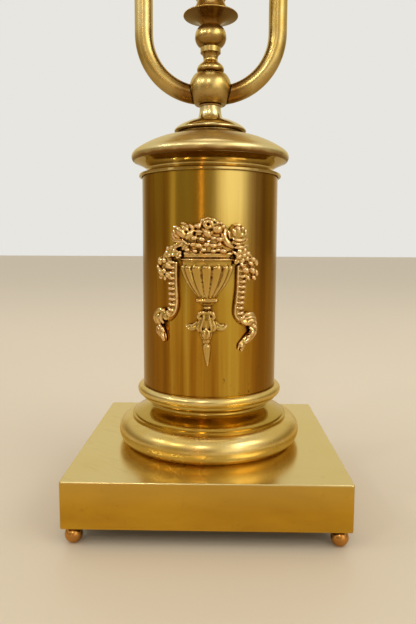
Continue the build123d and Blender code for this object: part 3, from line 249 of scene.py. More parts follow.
def paint_underside_shade(finish, colour, cloud, share):
    """Painted shade: browner where the metal faces down, and soot dark where it faces most steeply down."""
    upright = finish.split(finish.step("ShaderNodeTexCoord").outputs["Normal"])[2]
    uneven = finish.total(upright, finish.span(cloud, 0.3, 0.7, -0.12, 0.12))
    colour = finish.blend(finish.span(uneven, 0.02, -0.45, 0.0, share), colour, brass_brown)
    return finish.blend(finish.span(uneven, -0.5, -0.95, 0.0, 0.6 * share), colour, brass_soot_and_shade)


def turned_brass(name, coat, roughness, underside_shade=0.0, shadow_line=None, recess_depth=4.0 * MM):
    """Brass from the lathe, with fine rings round its axis. A painted shadow, soot dark, stands up to the
    height of the shadow line.
    """
    finish, place, colour, fleck = aged_brass(name, coat, recess_depth, roughness)
    x, y, height = finish.split(place)
    # painted shade: browner on the underside, by the given share
    if underside_shade:
        cloud = finish.noise(place, 90.0, detail=4.0, roughness=0.6)
        colour = paint_underside_shade(finish, colour, cloud, underside_shade)
    # painted shadow: soot dark below the given height, at the foot of the piece
    if shadow_line is not None:
        colour = finish.blend(finish.span(height, shadow_line, shadow_line - 0.5 * MM), colour, brass_soot_and_shade)
    finish.set("Base Color", colour)
    ring_place = finish.join(finish.product(finish.distance(x, y), lathe_rings),
                             finish.product(height, lathe_rings), 0.0)
    rings = finish.noise(ring_place, 1.0, detail=2.0, roughness=0.6)
    under = finish.relief(fleck, 0.02, 0.08 * MM)
    finish.set("Normal", finish.relief(rings, 0.05, 0.05 * MM, under))
    return finish.material


def tube_brass():
    """Drawn tube, heat stained at its soldered ends by the hub, with painted shade on its underside, a
    painted shadow at the gap where it meets the hub, and a green spot there.
    """
    finish, place, colour, fleck = aged_brass("tube_brass", golden_coat, 4.0 * MM, 0.27)
    x, y, z = finish.split(place)
    away = finish.distance(x, y, finish.math("SUBTRACT", z, hub_middle))
    cloud = finish.noise(place, 160.0, detail=4.0, roughness=0.65)
    # painted shade: browner on the tube's underside
    colour = paint_underside_shade(finish, colour, cloud, 0.38)
    near = finish.total(away, finish.product(cloud, -9.0 * MM))
    stain = finish.product(
        finish.span(near, hub_radius + 10 * MM, hub_radius),
        finish.span(z, stain_top, stain_top - 4 * MM),
        0.85,
    )
    colour = finish.blend(stain, colour, brass_brown)
    # painted shadow: soot dark at the gap where the tube's end meets the hub
    joint_shadow = finish.total(away, finish.product(cloud, -1.2 * MM))
    joint_shadow = finish.span(joint_shadow, hub_radius + 0.3 * MM, hub_radius - 0.1 * MM)
    colour = finish.blend(joint_shadow, colour, brass_soot_and_shade)
    green = finish.product(
        finish.span(away, hub_radius + 1.9 * MM, hub_radius + 1.2 * MM),
        finish.span(x, 0.0, -1.0 * MM),
        finish.span(z, green_height - 1.4 * MM, green_height - 0.6 * MM),
        finish.span(z, green_height + 1.4 * MM, green_height + 0.6 * MM),
        finish.span(cloud, 0.40, 0.50),
    )
    finish.set("Base Color", finish.blend(green, colour, verdigris))
    finish.set("Normal", finish.relief(fleck, 0.02, 0.08 * MM))
    return finish.material


def column_brass():
    """The rolled drum: upright streaks of polish and tarnish, with a painted highlight right of its middle
    and painted shade on its left, toward its edges and beside the ornament.
    """
    finish, place = bare_brass("column_brass")
    across, _, height = finish.split(place)
    streaks = finish.noise(finish.stretch(place, 85.0, 85.0, 2.0), 1.0, detail=4.0, roughness=0.58,
                           distortion=0.2)
    hairs = finish.noise(finish.stretch(place, 2600.0, 2600.0, 26.0), 1.0, detail=3.0, roughness=0.6)
    # painted shade and reflection: besides the random tarnish streaks, browner on the left half and toward
    # both edges, and browner towards the bottom
    streaks_and_shade = finish.total(
        streaks,
        finish.span(across, 22 * MM, -30 * MM, -0.12, 0.16),
        finish.span(height, 215 * MM, 110 * MM, -0.08, 0.10),
        finish.span(across, -36 * MM, -45 * MM, 0.0, 0.30),
        finish.span(across, 18 * MM, 36 * MM, 0.0, 0.42),
    )
    colour = finish.blend(finish.span(streaks_and_shade, 0.36, 0.70), column_olive, column_amber)
    # painted highlight: a pale patch right of the drum's middle, over its upper part
    paler_band = finish.product(
        finish.span(across, -4 * MM, 12 * MM),
        finish.span(across, 40 * MM, 22 * MM),
        finish.span(height, column_foot + 60 * MM, column_foot + 125 * MM),
        0.45,
    )
    colour = finish.blend(paler_band, colour, brass_pale)
    colour = finish.blend(finish.span(streaks_and_shade, 0.56, 0.88, 0.0, 0.7), colour, brass_brown)
    colour = finish.blend(finish.span(streaks, 0.38, 0.22, 0.0, 0.5), colour, brass_pale)
    colour = finish.blend(finish.span(hairs, 0.52, 0.80, 0.0, 0.15), colour, brass_brown)
    specks = finish.product(
        finish.span(finish.noise(place, 420.0, detail=2.0, roughness=0.5), 0.68, 0.74),
        finish.span(height, column_foot + 22 * MM, column_foot + 3 * MM),
        0.6,
    )
    colour = finish.blend(specks, colour, brass_soot_and_shade)
    # painted shadow: soot dark on the drum next to other pieces, as beside the ornament
    beside = finish.recess(5.0 * MM, own=False)
    colour = finish.blend(finish.span(beside, 0.30, 0.62, 0.0, 0.85), colour, brass_soot_and_shade)
    finish.set("Base Color", colour)
    finish.set("Roughness", finish.span(streaks, 0.3, 0.7, 0.13, 0.23))
    under = finish.relief(hairs, 0.06, 0.04 * MM)
    finish.set("Normal", finish.relief(streaks, 0.08, 0.3 * MM, under))
    return finish.material


def sheet_brass():
    """The folded plinth: its top pale and its sides amber as painted light, fine scratches on the top, and a
    pale top edge of wear and painted highlight.
    """
    finish, place = bare_brass("sheet_brass")
    across, _, height = finish.split(place)
    upright = finish.split(finish.step("ShaderNodeNewGeometry").outputs["Normal"])[2]
    cloud = finish.noise(finish.stretch(place, 1.0, 1.0, 3.0), 12.0, detail=5.0, roughness=0.6)
    fleck = finish.noise(place, 240.0, detail=3.0, roughness=0.7)
    # painted light and reflection: the top pale and the sides amber, told apart by which way the sheet faces
    top = finish.blend(finish.span(cloud, 0.35, 0.7), brass_pale, brass_straw)
    side = finish.blend(finish.span(cloud, 0.38, 0.75, 0.0, 0.6), plinth_amber, brass_amber)
    # golden towards the top of the sides
    paler_band = finish.total(height, finish.product(cloud, 10 * MM))
    paler_band = finish.span(paler_band, plinth_top - 12 * MM, plinth_top + 4 * MM, 0.0, 0.55)
    side = finish.blend(paler_band, side, brass_golden)
    # pale top edge: wear and a painted highlight
    edge = finish.span(height, plinth_top - 1.2 * MM, plinth_top - 0.3 * MM, 0.0, 0.8)
    side = finish.blend(edge, side, brass_pale)
    colour = finish.blend(finish.span(upright, 0.2, 0.8), side, top)
    colour = finish.blend(finish.span(fleck, 0.62, 0.80, 0.0, 0.30), colour, brass_brown)
    askew = finish.step("ShaderNodeMapping", {"Vector": place, "Rotation": (0.0, 0.0, scratch_turn)})
    hairs = finish.noise(finish.stretch(askew.outputs[0], 30.0, 1500.0, 30.0), 1.0, detail=2.0)
    scratches = finish.product(
        finish.span(hairs, 0.66, 0.72),
        finish.span(across, 30 * MM, -60 * MM),
        finish.span(upright, 0.8, 0.95),
        0.35,
    )
    finish.set("Base Color", finish.blend(scratches, colour, brass_brown))
    finish.set("Roughness", finish.span(cloud, 0.3, 0.7, 0.17, 0.26))
    brushed = finish.noise(finish.stretch(place, 60.0, 900.0, 900.0), 1.0, detail=3.0, roughness=0.6)
    under = finish.relief(cloud, 0.03, 1.0 * MM)
    finish.set("Normal", finish.relief(brushed, 0.04, 0.04 * MM, under))
    return finish.material


def shade_enamel():
    """Satin black enamel outside and pale gold inside, told apart by which way the sheet faces."""
    finish = Finish("shade_enamel")
    coordinates = finish.step("ShaderNodeTexCoord")
    place = coordinates.outputs["Object"]
    x, y, _ = finish.split(place)
    facing_x, facing_y, _ = finish.split(coordinates.outputs["Normal"])
    outward = finish.total(finish.product(x, facing_x), finish.product(y, facing_y))
    inside = finish.span(outward, 0.0, -2.0 * MM)
    cloud = finish.noise(place, 14.0, detail=4.0, roughness=0.6)
    pores = finish.noise(place, 900.0, detail=2.0, roughness=0.6)
    fine = finish.noise(place, 260.0, detail=3.0, roughness=0.6)
    black = finish.blend(finish.span(cloud, 0.35, 0.7), enamel_black, enamel_worn)
    gold = finish.blend(finish.span(cloud, 0.35, 0.7), gold_pale, gold_deep)
    gold = finish.blend(finish.span(fine, 0.5, 0.8, 0.0, 0.3), gold, gold_deep)
    finish.set("Base Color", finish.blend(inside, black, gold))
    finish.set("Metallic", finish.product(inside, 0.25))
    rough = finish.span(cloud, 0.3, 0.7, 0.27, 0.36)
    finish.set("Roughness", finish.total(rough, finish.product(inside, 0.14)))
    under = finish.relief(fine, 0.05, 0.3 * MM)
    finish.set("Normal", finish.relief(pores, 0.05, 0.05 * MM, under))
    return finish.material


def clear_glass(name, roughness, smoked=False):
    """Blown glass, a little uneven, smoked brown where it grows hot at its neck."""
    finish = Finish(name)
    place = finish.object_place()
    wave = finish.noise(place, 55.0, detail=2.0)
    dust = finish.noise(place, 600.0, detail=3.0, roughness=0.6)
    colour = finish.blend(finish.span(dust, 0.45, 0.8, 0.0, 0.06), glass_clear, glass_smoke)
    if smoked:
        height = finish.split(place)[2]
        colour = finish.blend(finish.span(height, smoke_top, smoke_foot, 0.0, 0.5), colour, glass_smoke)
    finish.set("Base Color", colour)
    finish.set("Transmission Weight", 1.0)
    finish.set("IOR", 1.47)
    finish.set("Roughness", finish.span(dust, 0.4, 0.8, roughness, roughness + 0.05))
    finish.set("Normal", finish.relief(wave, 0.06, 0.5 * MM))
    return finish.material


def candle_card():
    """Ivory sleeve of waxed card: faint upright streaks, browned by the lamp at its top."""
    finish = Finish("candle_card")
    place = finish.object_place()
    height = finish.split(place)[2]
    streaks = finish.noise(finish.stretch(place, 420.0, 420.0, 14.0), 1.0, detail=3.0, roughness=0.6)
    cloud = finish.noise(place, 70.0, detail=4.0, roughness=0.6)
    colour = finish.blend(finish.span(cloud, 0.35, 0.7), ivory_pale, ivory_deep)
    colour = finish.blend(finish.span(streaks, 0.5, 0.75, 0.0, 0.35), colour, ivory_deep)
    warm = finish.total(height, finish.product(cloud, 14 * MM))
    colour = finish.blend(finish.span(warm, sleeve_top - 6 * MM, sleeve_top + 8 * MM, 0.0, 0.6), colour,
                          ivory_brown)
    finish.set("Base Color", colour)
    finish.set("Roughness", finish.span(cloud, 0.3, 0.7, 0.36, 0.46))
    finish.set("Subsurface Weight", 0.08)
    finish.set("Subsurface Radius", (3 * MM, 2 * MM, 1 * MM))
    finish.set("Normal", finish.relief(streaks, 0.12, 0.1 * MM))
    return finish.material


def plain(name, colour, roughness, metallic=0.0):
    """A cast, painted or plated surface of one colour, a little cloudy."""
    finish = Finish(name, metallic=metallic)
    cloud = finish.noise(finish.object_place(), 60.0, detail=4.0, roughness=0.6)
    dark = tuple(0.72 * c for c in colour[:3]) + (1.0,)
    finish.set("Base Color", finish.blend(finish.span(cloud, 0.35, 0.7), colour, dark))
    finish.set("Roughness", finish.span(cloud, 0.3, 0.7, roughness - 0.05, roughness + 0.08))
    finish.set("Normal", finish.relief(cloud, 0.08, 0.2 * MM))
    return finish.material


finishes = {
    "brass_sheet": sheet_brass(),
    "brass_turned": turned_brass("turned_brass", golden_coat, 0.27, underside_shade=0.85),
    "brass_column": column_brass(),
    "brass_cast": turned_brass("cast_brass", copper_coat, 0.22),
    "brass_tube": tube_brass(),
    "brass_trim": turned_brass("trim_brass", olive_coat, 0.24),
    "steel_fixings": plain("zinc_steel", paint(170, 170, 168), 0.32, metallic=1.0),
    "steel_cover": plain("brown_enamel", paint(78, 70, 58), 0.42),
    "iron_ballast": plain("cast_iron", paint(70, 66, 62), 0.7, metallic=0.5),
    "candle_ivory": candle_card(),
    "socket_black": plain("socket_black", paint(30, 28, 26), 0.38),
    "brass_contact": turned_brass("contact_brass", golden_coat, 0.25),
    "bulb_glass": clear_glass("bulb_glass", 0.01, smoked=True),
    "bulb_stem": clear_glass("bulb_stem", 0.08),
    "lead_cover": plain("lead_cover", paint(206, 182, 120), 0.5),
    "shade_paint": shade_enamel(),
}

rubbed_mouldings = turned_brass("rubbed_mouldings", moulding_coat, 0.26)

# pieces that have kept more of their polish, or lost more of it, than the rest of their slot; the dome and
# flange are painted paler as a highlight, and some get painted shade underneath or a painted shadow at their
# foot
own_finishes = {
    "base_torus": rubbed_mouldings,
    "base_scotia": turned_brass("polished_hollows", olive_coat, 0.16),
    "base_bead": rubbed_mouldings,
    "cap_collar": turned_brass("collar_brass", brown_coat, 0.12, underside_shade=0.42, recess_depth=1.5 * MM),
    "cap_dome": turned_brass("dome_brass", highlight_coat, 0.31, underside_shade=0.95, recess_depth=1.0 * MM),
    "stem_flange": turned_brass("flange_brass", highlight_coat, 0.18, underside_shade=0.85,
                                shadow_line=flange_foot + 0.8 * MM, recess_depth=1.5 * MM),
    "arm_hub": turned_brass("hub_brass", golden_coat, 0.27, underside_shade=0.65),
    "lower_knop": turned_brass("knop_brass", golden_coat, 0.27, underside_shade=0.85, shadow_line=knop_foot + 1.7 * MM),
    "baluster": turned_brass("ball_brass", golden_coat, 0.24, underside_shade=0.7, recess_depth=1.5 * MM),
}

for row in frame["record"]["subparts"]:
    mesh = frame["nodes"][row["node"]].data
    mesh.materials.clear()
    mesh.materials.append(own_finishes.get(row["node"], finishes[row["material_slot"]]))


# ---------------------------------------------------------------- the bulbs' filaments

wire_sides = 8
lead_wire = 0.25 * MM
support_wire = 0.7 * lead_wire
coil_wire = 0.14 * MM
coil_radius = 0.7 * MM
coil_turns = 34
coil_points = 10          # points to each turn of the coil
arch_reach = 6.4 * MM     # from the bulb's middle to the coil's end
arch_rise = 9.0 * MM
arch_lift = 7.0 * MM      # the coil's ends over the glass stem
seal_depth = 1.5 * MM     # how far the wires go down into the glass stem


def bridged(places, segments, radius=1.0):
    """A ring at each place, each bridged to the next one, and both ends closed."""
    piece = bmesh.new()
    rings = []
    for k, place in enumerate(places):
        end = k in (0, len(places) - 1)
        ring = bmesh.ops.create_circle(piece, cap_ends=end, segments=segments, radius=radius,
                                       matrix=place)["verts"]
        rings.append(list({e for v in ring for e in v.link_edges}))
    for lower, upper in zip(rings, rings[1:]):
        bmesh.ops.bridge_loops(piece, edges=lower + upper)
    return piece


def headings(points):
    """The way on at each point, from the one before it to the one after it."""
    last = len(points) - 1
    return [(points[min(k + 1, last)] - points[max(k - 1, 0)]).normalized() for k in range(len(points))]


def add_part(shape, piece):
    """Adds the piece to the shape and frees it."""
    part = bpy.data.meshes.new("part")
    piece.to_mesh(part)
    piece.free()
    shape.from_mesh(part)
    bpy.data.meshes.remove(part)


def wire(shape, points, thickness):
    """A wire through its points, closed at both ends."""
    turns = [along.to_track_quat("Z", "X").to_matrix().to_4x4() for along in headings(points)]
    places = [Matrix.Translation(point) @ turn for point, turn in zip(points, turns)]
    piece = bridged(places, wire_sides, thickness)
    bmesh.ops.recalc_face_normals(piece, faces=piece.faces)
    add_part(shape, piece)


def coil_line(middle, height):
    """The coiled filament: an arch from lead to lead over its two supports."""
    line = []
    sideways = Vector((0, 1, 0))
    for k in range(coil_turns * coil_points + 1):
        t = k / (coil_turns * coil_points)
        angle = pi * t
        centre = Vector((middle.x - arch_reach * cos(angle), 0.0, height + arch_rise * sin(angle)))
        along = Vector((arch_reach * sin(angle), 0.0, arch_rise * cos(angle))).normalized()
        turn = 2 * pi * coil_turns * t
        line.append(centre + (along.cross(sideways) * cos(turn) + sideways * sin(turn)) * coil_radius)
    return line


def bent_wire(shape, start, bend, end, thickness):
    """A wire with one bend in it."""
    wire(shape, [start, start.lerp(bend, 0.5), bend, bend.lerp(end, 0.5), end], thickness)


def tungsten():
    """Dull grey wire."""
    finish = Finish("tungsten", metallic=1.0)
    cloud = finish.noise(finish.object_place(), 500.0, detail=3.0, roughness=0.6)
    finish.set("Base Color", finish.blend(finish.span(cloud, 0.3, 0.7), tungsten_grey, tungsten_dark))
    finish.set("Roughness", finish.span(cloud, 0.3, 0.7, 0.34, 0.5))
    return finish.material


def new_object(name, mesh, material):
    """A piece of this mesh in the scene, with one material."""
    mesh.materials.clear()
    mesh.materials.append(material)
    piece = bpy.data.objects.new(name, mesh)
    bpy.context.scene.collection.objects.link(piece)
    return piece


def fit_filament(hand, metal):
    """Lead wires, hooked supports and the coil inside one bulb."""
    stem_low, stem_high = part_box("bulb_stem_" + hand)
    middle = (stem_low + stem_high) / 2
    seal = stem_high.z - seal_depth
    height = stem_high.z + arch_lift

    def place(across, forward, level):
        return Vector((middle.x + across * MM, forward * MM, level))

    shape = bmesh.new()
    for side in (-1, 1):
        bent_wire(shape, place(1.2 * side, 0, seal), place(3.4 * side, 0, seal + 3.0 * MM),
                  Vector((middle.x + side * arch_reach, 0, height)), lead_wire)
        bent_wire(shape, place(0, side, seal), place(0.6 * side, side, seal + 4.0 * MM),
                  place(2.6 * side, 0, height + 8.4 * MM), support_wire)
    wire(shape, coil_line(middle, height), coil_wire)
    mesh = bpy.data.meshes.new("filament_" + hand)
    shape.to_mesh(mesh)
    shape.free()
    filament = new_object("filament_" + hand, mesh, metal)
    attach(filament, "bulb_" + hand)


tungsten_wire = tungsten()
fit_filament("left", tungsten_wire)
fit_filament("right", tungsten_wire)


# ---------------------------------------------------------------- the cast ornament

# The ornament is modelled flat, in mm: across to the right, out towards the front and up
# from the plinth's top. It is then fused into one casting and bent round the column.
ornament_back = -0.35
bar_sides = 12
casting_grain = 0.385
column_gap = 0.05
thinnest_half = 0.05
smoothing_rounds = 2
# how a petal swells: share of its length, share of its width
petal_swell = ((0.0, 0.25), (0.18, 0.75), (0.5, 1.0), (0.82, 0.75), (1.0, 0.25))
# a leaf's lobe: share of the length, distance from the vein, share of the width
leaf_lobe = ((0.0, 0.12, 0.3), (0.3, 0.5, 0.9), (0.6, 0.48, 0.85), (0.85, 0.22, 0.5), (1.0, 0.05, 0.15))


def cut_back(piece):
    """Takes off what lies behind the ornament's flat back, and closes the cut."""
    geometry = list(piece.verts) + list(piece.edges) + list(piece.faces)
    plane = (0, -ornament_back, 0)
    cut = bmesh.ops.bisect_plane(piece, geom=geometry, plane_co=plane, plane_no=(0, 1, 0), clear_outer=True)
    rim = [e for e in cut["geom_cut"] if isinstance(e, bmesh.types.BMEdge)]
    if rim:
        bmesh.ops.contextual_create(piece, geom=rim)


def bud(shape, across, up, out, half_width, half_height=None, half_depth=None, turn=0.0):
    """A rounded bud or bead. The turn is in degrees, anticlockwise."""
    half_height = half_height or half_width
    half_depth = half_depth or min(half_width, half_height)
    place = Matrix.Translation((across, -out, up)) @ Matrix.Rotation(radians(-turn), 4, "Y")
    size = Matrix.Diagonal((half_width, half_depth, half_height, 1))
    piece = bmesh.new()
    bmesh.ops.create_uvsphere(piece, u_segments=14, v_segments=9, radius=1.0, matrix=place @ size)
    join(shape, piece)


def join(shape, piece):
    """Cuts the piece at the ornament's flat back and adds it to the rest."""
    cut_back(piece)
    add_part(shape, piece)


def eased(stations, steps):
    """Stations in between, on a smooth line through the given ones."""
    ends = [stations[0]] + list(stations) + [stations[-1]]
    line = []
    for before, start, end, after in zip(ends, ends[1:], ends[2:], ends[3:]):
        for k in range(steps):
            t = k / steps
            line.append(tuple(
                0.5 * (2 * b + (c - a) * t + (2 * a - 5 * b + 4 * c - d) * t * t
                       + (3 * b - a - 3 * c + d) * t ** 3)
                for a, b, c, d in zip(before, start, end, after)))
    line.append(tuple(stations[-1]))
    return line


def bar(shape, stations, steps=4, sides=bar_sides):
    """A closed bar through its stations: across, up, out, half width, half height."""
    line = eased(stations, steps)
    centres = [Vector((across, -out, up)) for across, up, out, _, _ in line]
    places = []
    for centre, along, (_, _, _, half_width, half_height) in zip(centres, headings(centres), line):
        side = along.cross(Vector((0, -1, 0))).normalized()
        lift = side.cross(along)
        half_width = max(half_width, thinnest_half)
        half_height = max(half_height, thinnest_half)
        axes = Matrix((side * half_width, lift * half_height, along)).transposed()
        places.append(Matrix.Translation(centre) @ axes.to_4x4())
    join(shape, bridged(places, sides))


def petal(shape, start, end, out, half_width, half_height):
    """A rounded petal from one point of the flat drawing to another."""
    (a0, u0), (a1, u1) = start, end
    stations = []
    for t, share in petal_swell:
        stations.append((a0 + (a1 - a0) * t, u0 + (u1 - u0) * t, out, half_width * share,
                         half_height * share))
    bar(shape, stations, steps=2)


def leaf(shape, start, end, out, half_width, half_height):
    """Two lobes with a vein between them, meeting in a point."""
    (a0, u0), (a1, u1) = start, end
    length = hypot(a1 - a0, u1 - u0)
    side_a, side_u = -(u1 - u0) / length, (a1 - a0) / length
    for side in (-1, 1):
        stations = []
        for t, away, share in leaf_lobe:
            shift = side * away * half_width
            stations.append((a0 + (a1 - a0) * t + shift * side_a, u0 + (u1 - u0) * t + shift * side_u,
                             out, 0.55 * half_width * share, half_height * share))
        bar(shape, stations, steps=2)


def rosette(shape, across, up, out, radius, petals, centre, turn=0.0):
    """Round petals in a ring, with a bud or a hollow in the middle."""
    bud(shape, across, up, out - 0.25 * radius, 0.75 * radius, half_depth=0.5 * radius)
    for k in range(petals):
        angle = radians(turn) + 2 * pi * k / petals
        place = (across + 0.62 * radius * cos(angle), up + 0.62 * radius * sin(angle))
        bud(shape, *place, out, 0.40 * radius, 0.36 * radius, 0.42 * radius, turn=turn + 360 * k / petals)
    if centre:
        bud(shape, across, up, out + 0.25 * radius, centre)


urn_middle = -0.9
# height, half width and depth of the urn, from its rim down to its foot
urn_profile = ((136.2, 15.8, 3.9), (134.6, 16.2, 4.2), (134.2, 15.4, 3.4), (133.7, 15.4, 3.4),
               (133.2, 17.6, 5.4), (132.5, 17.7, 5.5), (131.8, 16.8, 4.6), (130.6, 16.6, 4.6),
               (129.6, 16.5, 4.5), (128.8, 16.2, 4.0), (127.8, 15.8, 3.6), (126.5, 15.3, 3.5),
               (120.5, 12.8, 3.3), (114.3, 9.3, 2.8), (109.1, 5.2, 2.1), (107.6, 4.4, 1.9))
# height, half width of the bowl and how far out its gadroons stand
gadroon_line = ((128.9, 16.3, 4.1), (128.2, 16.4, 4.7), (127.0, 16.2, 4.8), (124.0, 15.2, 4.5),
                (120.5, 13.8, 4.2), (117.0, 11.9, 3.9), (114.3, 10.1, 3.5), (111.5, 7.9, 3.0),
                (109.1, 6.0, 2.5), (107.9, 5.0, 2.0))
gadroon_pitch = 22.5
gadroon_sink = 0.3
gadroon_ends = (0.45, 0.85)    # the gadroons' first two stations, rounded off
foot_middle = -0.8
foot_ring = ((-6.1, 2.4, 1.3, 1.6), (-5.7, 3.0, 1.7, 2.3), (5.7, 3.0, 1.7, 2.3), (6.1, 2.4, 1.3, 1.6))
foot_ring_up = 106.6
# height, half width and depth of the stalk under the ring
foot_stalk = ((106.0, 5.5, 2.4), (104.2, 5.0, 2.3), (103.3, 3.0, 1.8), (102.6, 1.6, 1.5), (98.0, 1.4, 1.5))


def model_urn(shape):
    """The urn's flattened body, its gadroons, and the ring, stalk and bead of its foot."""
    bar(shape, [(urn_middle, up, 0.0, half_width, depth) for up, half_width, depth in urn_profile], steps=2,
        sides=48)
    for k in range(-3, 4):
        angle = radians(gadroon_pitch * k)
        stations = []
        for step, (up, half_width, depth) in enumerate(gadroon_line):
            rounding = gadroon_ends[step] if step < len(gadroon_ends) else 1.0
            width = half_width * radians(gadroon_pitch) / 2 * max(cos(angle), 0.55) * rounding
            out = depth * cos(angle) - gadroon_sink
            stations.append((urn_middle + half_width * sin(angle), up, out, 0.90 * width,
                             (0.55 + 0.055 * half_width) * rounding))
        bar(shape, stations, steps=2)
    bar(shape, [(foot_middle + across, foot_ring_up, *rest) for across, *rest in foot_ring], steps=1)
    bar(shape, [(foot_middle, up, 0.0, half_width, depth) for up, half_width, depth in foot_stalk], steps=2)
    bud(shape, -0.5, 101.9, 1.9, 2.8, 1.35, 2.2)


drop_middle = -1.1
# bars of the drop, in pairs to both sides of its middle: volutes, fluted leaf and side leaves
drop_pairs = (
    ((0.5, 98.4, 1.8, 0.8, 1.0), (2.1, 98.9, 2.6, 1.3, 1.5), (4.0, 98.0, 3.0, 1.4, 1.6),
     (4.8, 96.0, 3.0, 1.2, 1.4), (4.2, 94.6, 2.8, 0.8, 1.1), (3.2, 95.2, 2.6, 0.5, 0.9)),
    ((3.3, 96.6, 1.4, 0.9, 1.2), (3.9, 93.6, 2.0, 1.0, 1.3), (5.0, 90.6, 2.4, 1.2, 1.4),
     (5.0, 88.0, 2.6, 1.1, 1.3), (4.0, 86.4, 2.4, 0.7, 0.9)),
    ((1.5, 98.0, 2.2, 0.8, 1.1), (1.9, 94.6, 2.7, 0.8, 1.1), (2.9, 90.4, 3.0, 0.9, 1.1),
     (3.2, 87.4, 2.8, 0.8, 1.0), (2.4, 85.6, 2.6, 0.5, 0.7)),
    ((3.8, 92.6, 0.8, 1.0, 0.9), (5.8, 90.0, 1.6, 1.4, 1.2), (7.8, 88.2, 2.2, 1.5, 1.3),
     (10.0, 87.9, 2.4, 1.4, 1.2), (11.6, 89.0, 2.6, 1.0, 1.0), (12.7, 90.9, 2.7, 0.45, 0.6)),
    ((5.4, 93.0, 0.8, 0.9, 0.9), (6.8, 91.4, 1.6, 0.9, 1.0), (8.8, 90.2, 2.2, 0.8, 0.9),
     (11.0, 90.8, 2.4, 0.4, 0.5)),
)
drop_rib = ((0, 99.2, 1.6, 0.8, 1.1), (0, 95.0, 2.2, 0.6, 1.1), (0, 90.0, 2.5, 0.7, 1.1),
            (0, 87.4, 2.5, 0.5, 0.7))
drop_spike = ((0.3, 77.8, 0.0, 2.1, 2.4), (0.3, 76.9, 0.0, 2.9, 3.2), (0.3, 75.6, 0.0, 2.9, 3.2),
              (0.5, 70.0, 0.0, 2.2, 2.6), (0.7, 65.5, 0.0, 1.2, 1.7), (0.8, 62.6, 0.0, 0.25, 0.4))
# the collars over the spike: up, half width, half height, half depth
drop_collars = ((81.6, 3.6, 0.85, 3.0), (80.2, 3.2, 0.6, 2.6), (79.0, 2.6, 0.9, 2.2))


def model_drop(shape):
    """The leaf drop under the urn: volutes, fluted leaf, side leaves, bud, collars and spike."""
    def set_off(line, side=1):
        return [(drop_middle + side * across, *rest) for across, *rest in line]

    for side in (-1, 1):
        for line in drop_pairs:
            bar(shape, set_off(line, side))
        petal(shape, (drop_middle + side * 3.4, 86.6), (drop_middle + side * 1.9, 81.0), 1.6, 1.2, 1.4)
    bar(shape, set_off(drop_rib))
    bud(shape, drop_middle, 92.6, 0.6, 5.0, 6.8, 2.9)
    leaf(shape, (drop_middle, 81.6), (drop_middle, 88.6), 3.4, 2.7, 1.4)
    bud(shape, drop_middle, 84.2, 1.6, 3.6, 3.6, 2.5)
    for up, half_width, half_height, half_depth in drop_collars:
        bud(shape, drop_middle, up, 0.8, half_width, half_height, half_depth)
    bar(shape, set_off(drop_spike), steps=3)


def along_line(points, spacing):
    """Evenly spaced places and directions on a line of points."""
    places = []
    carried = 0.0
    for (a0, u0), (a1, u1) in zip(points, points[1:]):
        length = hypot(a1 - a0, u1 - u0)
        while carried < length:
            t = carried / length
            places.append((a0 + (a1 - a0) * t, u0 + (u1 - u0) * t, atan2(u1 - u0, a1 - a0)))
            carried += spacing
        carried -= length
    return places


left_band = ((-22.9, 131.0), (-23.0, 120.0), (-22.8, 113.0), (-22.5, 106.5), (-22.9, 101.5), (-24.6, 97.4),
             (-28.4, 94.0))
right_band = ((21.3, 129.0), (21.2, 120.0), (20.9, 113.0), (20.2, 106.5), (19.5, 100.5), (19.9, 96.4),
              (22.4, 93.2))
rib_spacing = 3.45
rib_reach = 2.5
rib_slant = radians(8)


def model_garland(shape, band, outer_side):
    """A band with a plain inner border and short ribs across its outer part."""
    bar(shape, [(across, up, 0.6, 3.3, 2.0) for across, up in band])
    bar(shape, [(across - 2.5 * outer_side, up, 1.5, 0.85, 1.45) for across, up in band])
    middle = [(across + 0.8 * outer_side, up) for across, up in band]
    for across, up, heading in along_line(middle, rib_spacing):
        tilt = heading + pi / 2 + rib_slant * outer_side
        half_a, half_u = rib_reach * cos(tilt), rib_reach * sin(tilt)
        petal(shape, (across - half_a, up - half_u), (across + half_a, up + half_u), 2.5, 1.4, 1.9)


